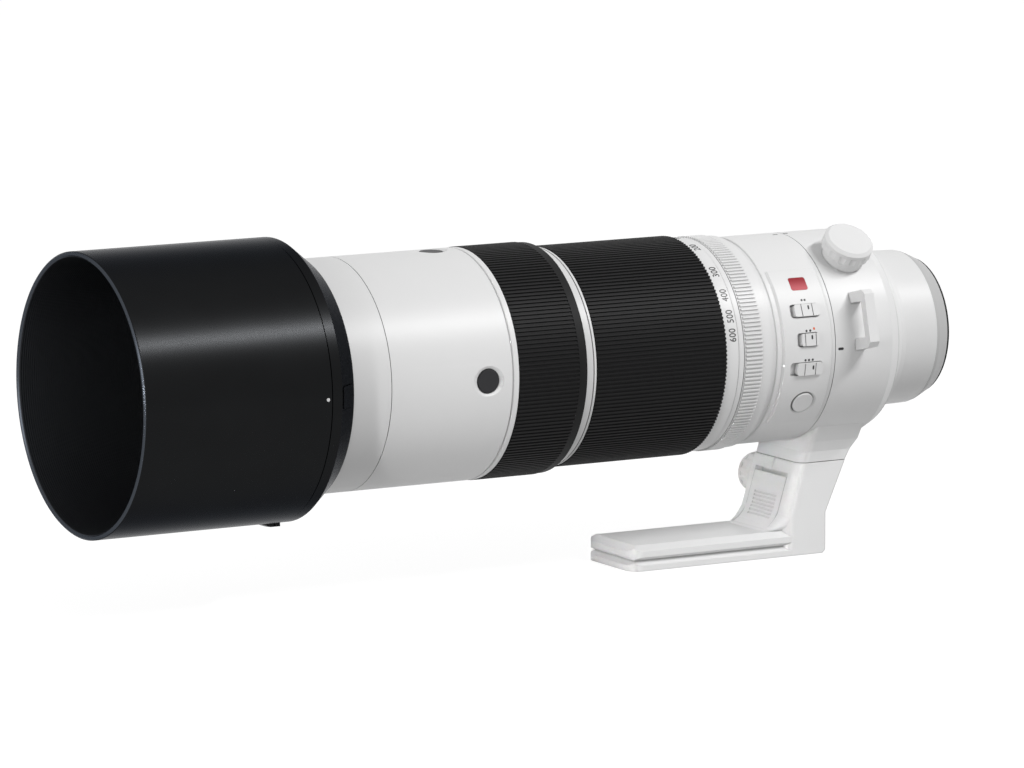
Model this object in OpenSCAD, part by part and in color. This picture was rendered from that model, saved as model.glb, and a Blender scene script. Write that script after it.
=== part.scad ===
// Super telephoto zoom lens with hood, tripod collar and removable foot.
// The optical axis runs along X: the mount face is at X = 0 and the hood points to minus X.
// Z is up, and the switch panel faces minus Y. All lengths are millimetres.

/* [Lengths along the axis] */
// Mount face to the rear edge of the tripod collar
rear_len = 34.5; // [31:0.1:36]
// Tripod collar
collar_len = 34; // [33:0.1:38]
// Barrel section that carries the switch panel
panel_len = 32.2; // [32:0.1:36]
// Aperture ring
aperture_len = 14.1; // [12:0.1:15]
// Fixed index ring
index_len = 2.8; // [2.5:0.1:4]
// Zoom number band
number_len = 6.8; // [5:0.1:8]
// Zoom ring rubber
zoom_grip_len = 64.1; // [60:0.1:68]
// White divider ring between the two rubbers
divider_len = 4.8; // [4:0.1:6]
// Focus ring rubber
focus_grip_len = 34.2; // [31:0.1:38]
// Front barrel with the four focus buttons
front_barrel_len = 61.1; // [58:0.1:66]
// Front ring with the filter thread and hood bayonet
front_ring_len = 27.5; // [26.5:0.1:29]
// Hood, rear edge to front rim
hood_len = 100.4; // [80:0.1:110]

/* [Radii] */
// Front barrel and front ring
front_r = 49.5; // [49.3:0.05:50.2]
// Height of the focus rubber's ribs over the front barrel
focus_grip_rise = 0.2; // [0:0.05:0.8]
// Step from the front barrel down to the panel section and the tripod collar
mid_step = 4.4; // [4.2:0.05:4.6]
// Height of the zoom rubber's ribs over the panel section
zoom_grip_rise = 2.3; // [2.1:0.05:2.8]
// Height of the aperture ring's ribs over the panel section
aperture_rise = 1.5; // [1.4:0.05:2]
// Height of the hood's shell over the front barrel
hood_flare = 10.2; // [9:0.1:12.5]
// Height of the hood's rear edge over the front barrel
hood_rear_rise = 2.5; // [2.3:0.1:3.5]
// Rear edge of the end ring at the mount
mount_edge_r = 30.5; // [30.3:0.05:31]
// Height of the rear barrel over that edge
rear_rise = 3.5; // [3.3:0.1:4.5]
// Depth of the fixed guide tube, that the rings turn on, under the panel section
guide_step = 1.5; // [1.4:0.05:1.7]
// Width of the front ring from its side to the crests of the filter thread
filter_rim = 8.9; // [8.5:0.1:9.5]

/* [Walls and clearances] */
// Gap between a moving piece and its neighbour
run_gap = 0.3; // [0.25:0.05:0.4]
// Radial gap of a pin or shaft in its bore
pin_gap = 0.08; // [0.05:0.01:0.1]
// Hood wall
hood_wall = 2.3; // [1.8:0.1:3]
// Front barrel wall
barrel_wall = 2.2; // [2:0.1:2.5]
// Guide tube wall
guide_wall = 1.8; // [1.6:0.1:2]
// Cam tube wall
cam_wall = 2.2; // [1.8:0.1:2.4]
// Rubber of the grips, ribs included
rubber_t = 1.3; // [1.1:0.05:1.5]
// Height of the rubber ribs
rib_h = 0.6; // [0.4:0.05:0.8]
// Pitch of the ribs on both rubbers and on the aperture ring
rib_pitch = 1.8; // [1.6:0.05:2.4]
// Wall of the tripod collar
collar_wall = 3.2; // [3:0.1:3.4]
// Tube wall of the rear barrel
rear_wall = 2.4; // [2:0.1:2.6]

/* [Zoom and iris] */
// Turn of the zoom ring from its wide to its long end, degrees
zoom_turn = 78.6; // [60:0.1:80]
// Travel of the variator, toward the mount
variator_travel = 44; // [30:1:46]
// Travel of the compensator, toward the hood
compensator_travel = 24; // [15:1:26]
// Turn of an iris blade as it closes, degrees
blade_turn = 24; // [15:1:26]
// Width of the iris frame round the open aperture
iris_frame_w = 14.8; // [14.3:0.5:16.8]

/* [Buttons and switches] */
// Radius of a focus button
focus_button_r = 5.05; // [4.5:0.05:5.5]
// Radius of the dished recess round a focus button
focus_dish_r = 7.3; // [6.5:0.1:8]
// Focus button centre, from the rear of the front barrel
focus_button_x = 14.8; // [12:0.1:20]
// Radius of the set button
set_button_r = 4.9; // [4:0.1:5.2]
// Length of the long slide switches
switch_len = 12.5; // [11.5:0.1:12.6]
// Length of the short slide switch
short_switch_len = 8.8; // [8:0.1:11]
// Width of the slide switches
switch_w = 5.4; // [5:0.1:6]
// Step of a slide switch between two positions
switch_step = 1.5; // [1.2:0.1:1.5]

/* [Tripod foot] */
// Height of the collar's stand, down to the split line of the foot
stand_h = 8.1; // [7.6:0.1:9.5]
// Height of the foot's neck, from the split line to the plate
neck_h = 29.5; // [27:0.1:34]
// Thickness of the foot plate
plate_t = 11; // [10:0.1:13]
// Width of the foot plate and neck
foot_w = 39; // [38:0.1:40]
// Front tip of the foot plate, ahead of the collar's front edge
plate_reach = 86.2; // [72:0.1:96]
// Radius of the collar lock knob
knob_r = 11; // [9.5:0.1:11.5]
// Radius of the foot clamp knob
clamp_knob_r = 8.8; // [8:0.1:9.6]
// Tapping radius of the tripod screw holes
tripod_hole_r = 2.55; // [2.5:0.05:3.2]
// Distance between the two tripod screw holes
tripod_hole_gap = 26; // [20:1:30]

/* [Hidden] */

round_fn = 96;
fine_fn = 240;
small_fn = 32;
right_angle = 90;
half_turn = 180;
full_turn = 360;
overrun = 1;
sliver = 0.01;
lens_steps = 8;

// Stations along the axis, counted from the mount face
collar_rear_x = -rear_len;
collar_front_x = collar_rear_x - collar_len;
panel_front_x = collar_front_x - panel_len;
aperture_front_x = panel_front_x - aperture_len;
index_front_x = aperture_front_x - index_len;
number_front_x = index_front_x - number_len;
zoom_front_x = number_front_x - zoom_grip_len;
divider_front_x = zoom_front_x - divider_len;
focus_front_x = divider_front_x - focus_grip_len;
barrel_front_x = focus_front_x - front_barrel_len;
body_front_x = barrel_front_x - front_ring_len;

// Radii and heights that follow the front barrel and one another
mid_r = front_r - mid_step;
focus_grip_r = front_r + focus_grip_rise;
zoom_grip_r = mid_r + zoom_grip_rise;
aperture_r = mid_r + aperture_rise;
hood_r = front_r + hood_flare;
hood_rear_r = front_r + hood_rear_rise;
filter_r = front_r - filter_rim;
guide_r = mid_r - guide_step;
rear_r = mount_edge_r + rear_rise;
split_drop = mid_r + stand_h;
plate_drop = split_drop + neck_h;

// Radii that follow one another from the guide tube inward
guide_in = guide_r - guide_wall;
cam_band_h = 0.7;
cam_out = guide_in - run_gap - cam_band_h;
cam_in = cam_out - cam_wall;
cell_out = cam_in - run_gap;

// Radii of the collar and of the barrel that it turns on
collar_in = mid_r - collar_wall;
journal_r = collar_in - run_gap;
main_wall = 2.2;
main_bore = journal_r - main_wall;

// White colours, and the rest of the palette
white = [0.90, 0.90, 0.89];
grey = [0.62, 0.62, 0.62];
black = [0.05, 0.05, 0.06];
rubber = [0.07, 0.07, 0.07];
metal = [0.72, 0.73, 0.75];
brass = [0.80, 0.66, 0.34];
glass = [0.55, 0.70, 0.80, 0.5];
red = [0.72, 0.10, 0.16];

// Local z along the optical axis, local x up, local y toward the switch panel
module axial() {
    rotate([0, right_angle, 0]) rotate([0, 0, half_turn]) children();
}

// Local z pointing outward at an angle from the top, local x toward the hood
module spoke(station, angle) {
    axial() rotate([0, 0, angle]) translate([0, 0, station]) rotate([0, right_angle, 0]) children();
}

// A full turn of an outline given as [radius, station] points
module turned(outline) {
    axial() rotate_extrude($fn = round_fn) polygon(outline);
}

// A part turn of such an outline, centred on an angle from the top
module part_turned(outline, middle, span) {
    axial() rotate([0, 0, middle - span / 2]) rotate_extrude(angle = span, $fn = round_fn) polygon(outline);
}

function band(front, rear, inner, outer) = [[inner, front], [outer, front], [outer, rear], [inner, rear]];

module tube(front, rear, inner, outer) {
    turned(band(front, rear, inner, outer));
}

module sector(front, rear, inner, outer, middle, span) {
    part_turned(band(front, rear, inner, outer), middle, span);
}

// A round bar along the optical axis at a local place, and one across it
module axial_bar(place, front, rear, r) {
    axial() translate([place[0], place[1], front]) cylinder(h = rear - front, r = r, $fn = small_fn);
}

module along_y(half_len, r) {
    rotate([right_angle, 0, 0]) translate([0, 0, -half_len])
        cylinder(h = 2 * half_len, r = r, $fn = small_fn);
}

// A plate with round corners, its long side along x
module rounded_plate(long_side, short_side, corner, height) {
    translate([-long_side / 2 + corner, -short_side / 2, 0])
        cube([long_side - 2 * corner, short_side, height]);
    translate([-long_side / 2, -short_side / 2 + corner, 0])
        cube([long_side, short_side - 2 * corner, height]);
    for (x = [-1, 1], y = [-1, 1])
        translate([x * (long_side / 2 - corner), y * (short_side / 2 - corner), 0])
            cylinder(h = height, r = corner, $fn = small_fn);
}

// Where along its pitch a rib's crest and root begin and end
rib_shares = [0, 0.38, 0.5, 0.88];

// Outline of a ribbed ring seen along the axis
function ribbed_outline(crest, root, count) = [
    for (i = [0 : count - 1], k = [0 : 3])
        let (turn = full_turn * (i + rib_shares[k]) / count)
        let (r = k < 2 ? crest : root)
        [r * cos(turn), r * sin(turn)]
];

module ribbed_ring(front, rear, inner, root, crest) {
    count = round(2 * PI * crest / rib_pitch);
    axial() translate([0, 0, front]) difference() {
        linear_extrude(rear - front) polygon(ribbed_outline(crest, root, count));
        translate([0, 0, -overrun])
            cylinder(h = rear - front + 2 * overrun, r = inner, $fn = fine_fn);
    }
}

// A lens element: its faces bulge by shares of its thickness, a minus sign makes a face hollow
function bulge(sag, edge_r, r) = sag * (1 - pow(r / edge_r, 2));
function lens_radii(edge_r) = [for (i = [0 : lens_steps]) edge_r * i / lens_steps];
function lens_outline(front, rear, edge_r, sags) = concat(
    [for (r = lens_radii(edge_r)) [r, front - bulge(sags[0], edge_r, r)]],
    [for (i = [lens_steps : -1 : 0]) let (r = lens_radii(edge_r)[i]) [r, rear + bulge(sags[1], edge_r, r)]]
);

module lens_element(front, thickness, edge_r, sag_shares) {
    color(glass) turned(lens_outline(front, front + thickness, edge_r, sag_shares * thickness));
}

// A round button with a bevelled edge and a flange that keeps it in its hole
button_flange_w = 0.9;
button_flange_t = 0.6;
button_bevel = 0.3;

module round_button(station, angle, low, top, r) {
    spoke(station, angle) {
        translate([0, 0, low])
            cylinder(h = button_flange_t, r = r + button_flange_w, $fn = round_fn);
        translate([0, 0, low])
            cylinder(h = top - low - button_bevel, r = r, $fn = round_fn);
        translate([0, 0, top - button_bevel])
            cylinder(h = button_bevel, r1 = r, r2 = r - button_bevel, $fn = round_fn);
    }
}

// The hole for such a button, with a dished seat round it
module button_hole(station, angle, low, surface, r, dish_r) {
    spoke(station, angle) {
        translate([0, 0, low]) cylinder(h = surface, r = r + run_gap, $fn = round_fn);
        translate([0, 0, surface - dish_depth])
            cylinder(h = 2 * dish_depth, r1 = r + run_gap, r2 = 2 * dish_r - r - run_gap, $fn = round_fn);
    }
}

// Hood: a turned shell with a conical rear, a bayonet inside it, a button and a filter window
hood_overlap = 8.3;
hood_cone_len = 9.6;
hood_lip = 0.8;
hood_fit = 0.55;
hood_inner_setback = 3.6;
hood_rear_x = body_front_x + hood_overlap;
hood_front_x = hood_rear_x - hood_len;
hood_cone_x = hood_rear_x - hood_cone_len;
hood_in = hood_r - hood_wall;
hood_rear_in = front_r + hood_fit;
cone_slope = (hood_r - hood_rear_r) / hood_cone_len;
inner_cone_x = hood_cone_x - hood_inner_setback;
inner_cone_end_x = inner_cone_x + (hood_in - hood_rear_in) / cone_slope;
bayonet_lug_span = 44;
bayonet_step = 1.9;
bayonet_root_r = front_r - bayonet_step;
bayonet_count = 3;
bayonet_turns = [for (i = [0 : bayonet_count - 1]) right_angle + full_turn * i / bayonet_count];
ring_lug_len = 2.9;
hood_lug_len = 3.6;
hood_lug_x = body_front_x + ring_lug_len + run_gap;
front_shoulder_x = hood_lug_x + hood_lug_len + run_gap;
window_setback = 1.7;
window_len = 21;
window_span = 17;
window_travel = 11;
window_lap = 1.4;
window_rear_x = hood_cone_x - window_setback;
window_front_x = window_rear_x - window_len;
door_span = 20.2;
door_t = 1.5;
door_out = hood_in - run_gap;
door_in = door_out - door_t;
thumb_len = 9;
thumb_h = 1.6;
thumb_span = 16;
rail_t = 1.2;
rail_span = 2.2;
rail_play_span = 0.4;
rail_in = door_in - run_gap - rail_t;
hood_button_len = 7.2;
hood_button_w = 9.4;
hood_button_corner = 1.2;
hood_button_depth = 2.4;
hood_button_proud = 0.35;
hood_button_shift = 0.4;
hood_button_x = (hood_rear_x + hood_cone_x) / 2 - hood_button_shift;

function hood_outer_r(x) = hood_r - cone_slope * (x - hood_cone_x);

module hood_blank() {
    turned([
        [hood_in, hood_front_x + hood_lip], [hood_in + hood_wall / 3, hood_front_x],
        [hood_r - hood_wall / 3, hood_front_x], [hood_r, hood_front_x + hood_lip],
        [hood_r, hood_cone_x], [hood_rear_r, hood_rear_x],
        [hood_rear_in, hood_rear_x], [hood_rear_in, inner_cone_end_x], [hood_in, inner_cone_x]
    ]);
    for (turn = bayonet_turns)
        sector(hood_lug_x, hood_lug_x + hood_lug_len, bayonet_root_r + run_gap, hood_rear_in + bayonet_step,
            turn, bayonet_lug_span);
}

// The door's rails: a side wall and a lip under the door's edge
module hood_rails() {
    rail_front = window_front_x - window_lap - window_travel;
    rail_rear = window_rear_x + window_lap + run_gap;
    edge = door_span / 2 + rail_play_span;
    for (side = [-1, 1]) {
        sector(rail_front, rail_rear, rail_in, hood_in + hood_wall / 2,
            half_turn + side * (edge + rail_span / 2), rail_span);
        sector(rail_front, rail_rear, rail_in, door_in - run_gap, half_turn + side * edge, rail_span);
    }
}

module hood_button_prism(gap) {
    spoke(hood_button_x, right_angle) translate([0, 0, hood_rear_in])
        rounded_plate(hood_button_len + 2 * gap, hood_button_w + 2 * gap, hood_button_corner + gap, hood_r);
}

// A shell that follows the hood's cone, from a depth under it to a height over it
module cone_shell(depth, height) {
    front = hood_cone_x - hood_wall;
    rear = hood_rear_x + hood_wall;
    turned([
        [hood_outer_r(front) - depth, front], [hood_outer_r(front) + height, front],
        [hood_outer_r(rear) + height, rear], [hood_outer_r(rear) - depth, rear]
    ]);
}

module hood_shell() {
    color(black) {
        difference() {
            hood_blank();
            sector(window_front_x, window_rear_x, rail_in, hood_r + overrun, half_turn, window_span);
            sector(inner_cone_x - overrun, window_rear_x + window_lap + run_gap, rail_in - overrun,
                hood_in, half_turn, door_span + 2 * (rail_play_span + rail_span));
            intersection() {
                hood_button_prism(run_gap);
                cone_shell(hood_button_depth, hood_wall);
            }
        }
        hood_rails();
    }
}

module hood_release_button() {
    color(black) intersection() {
        hood_button_prism(0);
        cone_shell(hood_button_depth - button_travel - run_gap, hood_button_proud);
    }
}

module hood_window() {
    thumb_rear = window_rear_x - run_gap;
    thumb_top = hood_r + thumb_h;
    color(black) {
        sector(window_front_x - window_lap, window_rear_x + window_lap, door_in, door_out,
            half_turn, door_span);
        part_turned([
            [door_in, thumb_rear - thumb_len], [hood_r, thumb_rear - thumb_len],
            [thumb_top, thumb_rear - thumb_len / 2], [thumb_top, thumb_rear], [door_in, thumb_rear]
        ], half_turn, thumb_span);
    }
}

// Front ring, the front lens cell and its glass
filter_len = 6;
cell_lip = 1.2;
spigot_len = 2.5;
barrel_in = front_r - barrel_wall;
front_glass_r = filter_r - 1.3 * cell_lip;
front_glass_t = 6;
front_glass_sag_shares = [0.2, 0.5];
second_glass_t = 4;
second_glass_sag_shares = [-0.4, -0.2];
web_len = 3;
web_front_x = barrel_front_x + spigot_len + run_gap;

module front_ring() {
    color(white) {
        turned([
            [filter_r, body_front_x], [bayonet_root_r, body_front_x],
            [bayonet_root_r, front_shoulder_x], [front_r, front_shoulder_x],
            [front_r, barrel_front_x - run_gap / 2], [barrel_in, barrel_front_x - run_gap / 2],
            [barrel_in, barrel_front_x + spigot_len], [guide_r, barrel_front_x + spigot_len],
            [guide_r, body_front_x + filter_len], [filter_r, body_front_x + filter_len]
        ]);
        for (turn = bayonet_turns)
            sector(body_front_x, body_front_x + ring_lug_len, bayonet_root_r - bayonet_step, front_r,
                turn, bayonet_lug_span);
    }
}

module front_cell() {
    start = body_front_x + filter_len;
    color(black) turned([
        [front_glass_r - cell_lip, start + cell_lip], [filter_r, start],
        [guide_r, start], [guide_r, web_front_x], [front_glass_r, web_front_x],
        [front_glass_r, start + 2 * cell_lip], [front_glass_r - cell_lip, start + 2 * cell_lip]
    ]);
}

module front_glass() {
    start = body_front_x + filter_len + 2 * cell_lip + run_gap;
    lens_element(start, front_glass_t, front_glass_r, front_glass_sag_shares);
    lens_element(web_front_x - second_glass_t, second_glass_t, front_glass_r, second_glass_sag_shares);
}

// Front barrel: shell, four dished button seats, a lip behind and webs that hold the guide tube
lip_len = 3.1;
lip_groove = 0.5;
guide_front_x = web_front_x + web_len;
guide_tail = 4.6;
guide_rear_x = panel_front_x + guide_tail;
focus_button_station = focus_front_x - focus_button_x;
dish_depth = 0.9;
focus_button_seal = 1.4;
button_travel = 0.8;

module front_barrel() {
    lip_x = focus_front_x - lip_len;
    color(white) difference() {
        union() {
            turned([
                [barrel_in, barrel_front_x + run_gap / 2], [front_r, barrel_front_x + run_gap / 2],
                [front_r, lip_x - lip_groove], [front_r - lip_groove, lip_x],
                [front_r, lip_x + lip_groove], [front_r, focus_front_x - run_gap],
                [guide_r, focus_front_x - run_gap], [guide_r, lip_x], [barrel_in, lip_x - lip_groove]
            ]);
            tube(web_front_x, web_front_x + web_len, guide_in, barrel_in + sliver);
        }
        for (side = [0 : 3])
            button_hole(focus_button_station, side * right_angle, guide_r, front_r, focus_button_r,
                focus_dish_r);
    }
}

module focus_button(angle) {
    color(black) round_button(focus_button_station, angle, barrel_in - focus_button_seal,
        front_r - dish_depth / 2, focus_button_r);
}

module focus_button_top() {
    focus_button(0);
}

module focus_button_near() {
    focus_button(right_angle);
}

module focus_button_bottom() {
    focus_button(half_turn);
}

module focus_button_far() {
    focus_button(-right_angle);
}

// Focus ring: a sleeve on two bearing bands, and the rubber round it
focus_sleeve_out = focus_grip_r - rubber_t;
bearing_len = 3;
bearing_relief = 1.9;
focus_bevel = 1.2;
plain_band_len = 3.6;
focus_rear_x = divider_front_x - run_gap;

module focus_ring_sleeve() {
    bearing_r = guide_r + run_gap;
    color(black) turned([
        [bearing_r, focus_front_x], [focus_sleeve_out, focus_front_x],
        [focus_sleeve_out, focus_rear_x - focus_bevel], [zoom_grip_r - run_gap, focus_rear_x],
        [bearing_r, focus_rear_x], [bearing_r, focus_rear_x - bearing_len],
        [bearing_r + bearing_relief, focus_rear_x - bearing_len - focus_bevel],
        [bearing_r + bearing_relief, focus_front_x + bearing_len + focus_bevel],
        [bearing_r, focus_front_x + bearing_len]
    ]);
}

module focus_ring_grip() {
    grip_rear_x = focus_rear_x - focus_bevel;
    color(rubber) {
        ribbed_ring(focus_front_x, grip_rear_x - plain_band_len, focus_sleeve_out,
            focus_grip_r - rib_h, focus_grip_r);
        tube(grip_rear_x - plain_band_len, grip_rear_x, focus_sleeve_out, focus_grip_r - rib_h / 2);
    }
}

groove_w = 0.5;
divider_groove_share = 0.62;
divider_r = zoom_grip_r - run_gap;

module divider_ring() {
    groove_x = divider_front_x + divider_len * divider_groove_share;
    color(white) turned([
        [guide_r, divider_front_x], [divider_r, divider_front_x],
        [divider_r, groove_x], [divider_r - groove_w, groove_x],
        [divider_r - groove_w, groove_x + groove_w], [divider_r, groove_x + groove_w],
        [divider_r, zoom_front_x - run_gap], [guide_r, zoom_front_x - run_gap]
    ]);
}

// Zoom ring: sleeve with the number band, a key that reaches the cam tube, and the rubber
zoom_sleeve_out = zoom_grip_r - rubber_t;
number_drop = 1.1;
number_r = zoom_grip_r - number_drop;
key_w = 5;
key_setback = 6.5;
key_x = number_front_x - key_setback;
key_angle = 150;

module zoom_ring_sleeve() {
    bearing_r = guide_r + run_gap;
    color(white) {
        turned([
            [bearing_r, zoom_front_x], [zoom_sleeve_out, zoom_front_x],
            [zoom_sleeve_out, number_front_x], [number_r, number_front_x],
            [number_r, index_front_x - run_gap], [bearing_r, index_front_x - run_gap]
        ]);
        spoke(key_x, key_angle) translate([0, 0, cam_out])
            cylinder(h = zoom_sleeve_out - cam_out - sliver, r = key_w / 2, $fn = round_fn);
    }
}

module zoom_ring_grip() {
    color(rubber)
        ribbed_ring(zoom_front_x, number_front_x, zoom_sleeve_out, zoom_grip_r - rib_h, zoom_grip_r);
}

module index_ring() {
    color(white) tube(index_front_x, aperture_front_x - run_gap, guide_r, aperture_root_r);
}

aperture_rib_margin = 0.6;
aperture_rib_len = 8.4;
aperture_root_r = aperture_r - rib_h;

module aperture_ring() {
    rib_front = aperture_front_x + aperture_rib_margin;
    color(white) {
        tube(aperture_front_x, panel_front_x - run_gap, guide_r + run_gap, aperture_root_r);
        ribbed_ring(rib_front, rib_front + aperture_rib_len, aperture_root_r - rib_h, aperture_root_r,
            aperture_r);
    }
}

// Guide tube with straight slots, and the cam tube with helical ones
follower_r = 2.4;
follower_slot_r = follower_r + run_gap;
follower_turns = [50, 170, 290];
cam_front_setback = 14;
cam_rear_setback = 1.5;
cam_band_len = 4;
cam_tail_len = 8.8;
variator_setback = 14;
compensator_setback = 16;
cam_front_x = guide_front_x + cam_front_setback;
cam_rear_x = number_front_x - cam_rear_setback;
variator_x = cam_front_x + variator_setback;
compensator_x = cam_rear_x - compensator_setback;
slot_step_turn = 8;
slot_overlap = 0.3;
slot_inset = 0.03;

// The round ends of a slot through a wall
module slot_ends(start_x, start_turn, travel, turn, wall_in, wall_out, half_w) {
    for (end = [0, 1])
        spoke(start_x + end * travel, start_turn + end * turn) translate([0, 0, wall_in - overrun])
            cylinder(h = wall_out - wall_in + 2 * overrun, r = half_w, $fn = small_fn);
}

// A slot that only goes round
module round_slot(station, start_turn, turn, wall_in, wall_out, half_w) {
    side_x = half_w - slot_inset;
    slot_ends(station, start_turn, 0, turn, wall_in, wall_out, half_w);
    sector(station - side_x, station + side_x, wall_in - overrun, wall_out + overrun,
        start_turn + turn / 2, abs(turn));
}

// A slot through a wall from one station and angle to another, as a chain of short boxes
module tube_slot(start_x, start_turn, travel, turn, wall_in, wall_out, half_w) {
    steps = max(1, ceil(abs(turn) / slot_step_turn));
    arc = (wall_in + wall_out) / 2 * turn * PI / half_turn;
    box_len = sqrt(arc * arc + travel * travel) / steps + slot_overlap;
    box_half_w = half_w - slot_inset;
    depth = wall_out - wall_in + 2 * overrun;
    slot_ends(start_x, start_turn, travel, turn, wall_in, wall_out, half_w);
    for (i = [0.5 : steps])
        spoke(start_x + i / steps * travel, start_turn + i / steps * turn)
            rotate([0, 0, atan2(arc, -travel)]) translate([-box_len / 2, -box_half_w, wall_in - overrun])
                cube([box_len, 2 * box_half_w, depth]);
}

module guide_tube() {
    color(black) difference() {
        tube(guide_front_x, guide_rear_x, guide_in, guide_r);
        for (turn = follower_turns) {
            tube_slot(variator_x, turn, variator_travel, 0, guide_in, guide_r, follower_slot_r);
            tube_slot(compensator_x, turn, -compensator_travel, 0, guide_in, guide_r, follower_slot_r);
        }
        round_slot(key_x, key_angle, -zoom_turn, guide_in, guide_r, key_w / 2 + run_gap);
    }
}

module cam_tube() {
    band_out = guide_in - run_gap;
    color(black) difference() {
        union() {
            tube(cam_front_x, cam_rear_x, cam_in, cam_out);
            tube(cam_front_x, cam_front_x + cam_band_len, cam_in, band_out);
            tube(cam_rear_x - cam_tail_len, cam_rear_x, cam_in, band_out);
        }
        for (turn = follower_turns) {
            tube_slot(variator_x, turn, variator_travel, zoom_turn, cam_in, band_out, follower_slot_r);
            tube_slot(compensator_x, turn, -compensator_travel, zoom_turn, cam_in, band_out,
                follower_slot_r);
        }
        spoke(key_x, key_angle) translate([0, 0, cam_out])
            cylinder(h = cam_wall, r = key_w / 2 + pin_gap, $fn = round_fn);
    }
}

// A lens cell with three follower pins that reach through the cam tube into the guide tube
variator_len = 16;
compensator_len = 13;
variator_cell_wall = 7.3;
compensator_cell_wall = 10.3;
variator_bore = cell_out - variator_cell_wall;
compensator_bore = cell_out - compensator_cell_wall;
variator_sag_shares = [-0.3, -0.3];
compensator_sag_shares = [0.4, 0.3];
inner_glass_t = 5;

module zoom_cell(middle, length, bore) {
    pin_low = cell_out - cell_lip;
    front = middle - length / 2;
    rear = middle + length / 2;
    color(black) {
        turned([
            [bore, front], [cell_out, front], [cell_out, rear], [bore - cell_lip, rear],
            [bore - cell_lip, rear - cell_lip], [bore, rear - cell_lip]
        ]);
        for (turn = follower_turns)
            spoke(middle, turn) translate([0, 0, pin_low])
                cylinder(h = guide_r - pin_low - run_gap, r = follower_r, $fn = small_fn);
    }
}

module variator_cell() {
    zoom_cell(variator_x, variator_len, variator_bore);
}

module variator_glass() {
    lens_element(variator_x + variator_len / 2 - cell_lip - inner_glass_t, inner_glass_t, variator_bore,
        variator_sag_shares);
}

module compensator_cell() {
    zoom_cell(compensator_x, compensator_len, compensator_bore);
}

module compensator_glass() {
    lens_element(compensator_x + compensator_len / 2 - 2 * cell_lip - inner_glass_t, inner_glass_t,
        compensator_bore, compensator_sag_shares);
}

// Iris: a housing, a drive ring and seven blades, each on a layer of its own
blade_count = 7;
blade_t = 0.25;
blade_pitch = 0.62;
blade_tab_r = 1.7;
iris_setback = 3.6;
iris_x = aperture_front_x - iris_setback;
iris_plate_t = 1.5;
iris_open_r = guide_in - iris_frame_w;
iris_plate_in = iris_open_r + run_gap;
iris_pivot_inset = 5.8;
iris_pivot_r = guide_in - iris_pivot_inset;
iris_band_in = iris_open_r + run_gap;
iris_band_w = 5.4;
iris_band_span = 84;
iris_band_start = -3;
iris_pin_r = 0.9;
iris_ring_turn = 16;
iris_drive_angle = -8;
iris_drive_inset = 0.8;
iris_drive_r = iris_pivot_r - iris_drive_inset;
iris_rim_w = 2.2;
iris_rim_in = guide_in - iris_rim_w;
iris_ring_in = iris_band_in + iris_band_w + 2 * run_gap;
iris_ring_x = iris_x + iris_plate_t + blade_count * blade_pitch + 3 * run_gap;
iris_cover_x = iris_ring_x + iris_plate_t + 2 * run_gap;
iris_rear_x = iris_cover_x + iris_plate_t;
iris_slot_steps = 12;
drive_home = iris_drive_r * [cos(iris_drive_angle), sin(iris_drive_angle)];

// Where a blade's drive pin lies once the blade has turned about its pivot
function drive_point(turn) = let (pivot = [iris_pivot_r, 0])
    let (arm = drive_home - pivot)
    pivot + [arm[0] * cos(turn) - arm[1] * sin(turn), arm[0] * sin(turn) + arm[1] * cos(turn)];

// A round bar or hole at a place on the blade or ring, repeated by the blade's own turn
module iris_bar(place, front, rear, r) {
    translate([place[0], place[1], front]) cylinder(h = rear - front, r = r, $fn = small_fn);
}

module iris_housing() {
    color(black) difference() {
        union() {
            tube(iris_x, iris_cover_x, iris_rim_in, guide_in);
            tube(iris_x, iris_x + iris_plate_t, iris_plate_in, guide_in);
        }
        axial() for (i = [0 : blade_count - 1]) rotate([0, 0, full_turn * i / blade_count])
            iris_bar([iris_pivot_r, 0], iris_x - overrun, iris_x + iris_plate_t + overrun,
                iris_pin_r + pin_gap);
    }
}

module iris_ring() {
    color(brass) difference() {
        tube(iris_ring_x, iris_ring_x + iris_plate_t, iris_ring_in, iris_rim_in - run_gap);
        axial() for (i = [0 : blade_count - 1], k = [0 : iris_slot_steps])
            rotate([0, 0, full_turn * i / blade_count - k / iris_slot_steps * iris_ring_turn])
                iris_bar(drive_point(k / iris_slot_steps * blade_turn), iris_ring_x - overrun,
                    iris_ring_x + iris_plate_t + overrun, iris_pin_r + run_gap);
    }
}

module iris_blade(number) {
    low = iris_x + iris_plate_t + run_gap + (number - 1) * blade_pitch;
    top = low + blade_t;
    band_mid = iris_band_in + iris_band_w / 2;
    arm = drive_home - [iris_pivot_r, 0];
    color(grey) axial() rotate([0, 0, full_turn * (number - 1) / blade_count]) {
        rotate([0, 0, iris_band_start]) rotate_extrude(angle = iris_band_span, $fn = round_fn)
            translate([iris_band_in, low]) square([iris_band_w, blade_t]);
        iris_bar([iris_pivot_r, 0], low, top, blade_tab_r);
        iris_bar(drive_home, low, top, blade_tab_r);
        translate([band_mid, -blade_tab_r, low])
            cube([iris_pivot_r - band_mid, 2 * blade_tab_r, blade_t]);
        translate([iris_pivot_r, 0, low]) rotate([0, 0, atan2(arm[1], arm[0])])
            translate([0, -blade_tab_r, 0]) cube([norm(arm), 2 * blade_tab_r, blade_t]);
        iris_bar([iris_pivot_r, 0], iris_x, top, iris_pin_r);
        iris_bar(drive_home, low, iris_ring_x + iris_plate_t, iris_pin_r);
    }
}

module iris_blade_1() {
    iris_blade(1);
}

module iris_blade_2() {
    iris_blade(2);
}

module iris_blade_3() {
    iris_blade(3);
}

module iris_blade_4() {
    iris_blade(4);
}

module iris_blade_5() {
    iris_blade(5);
}

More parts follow.
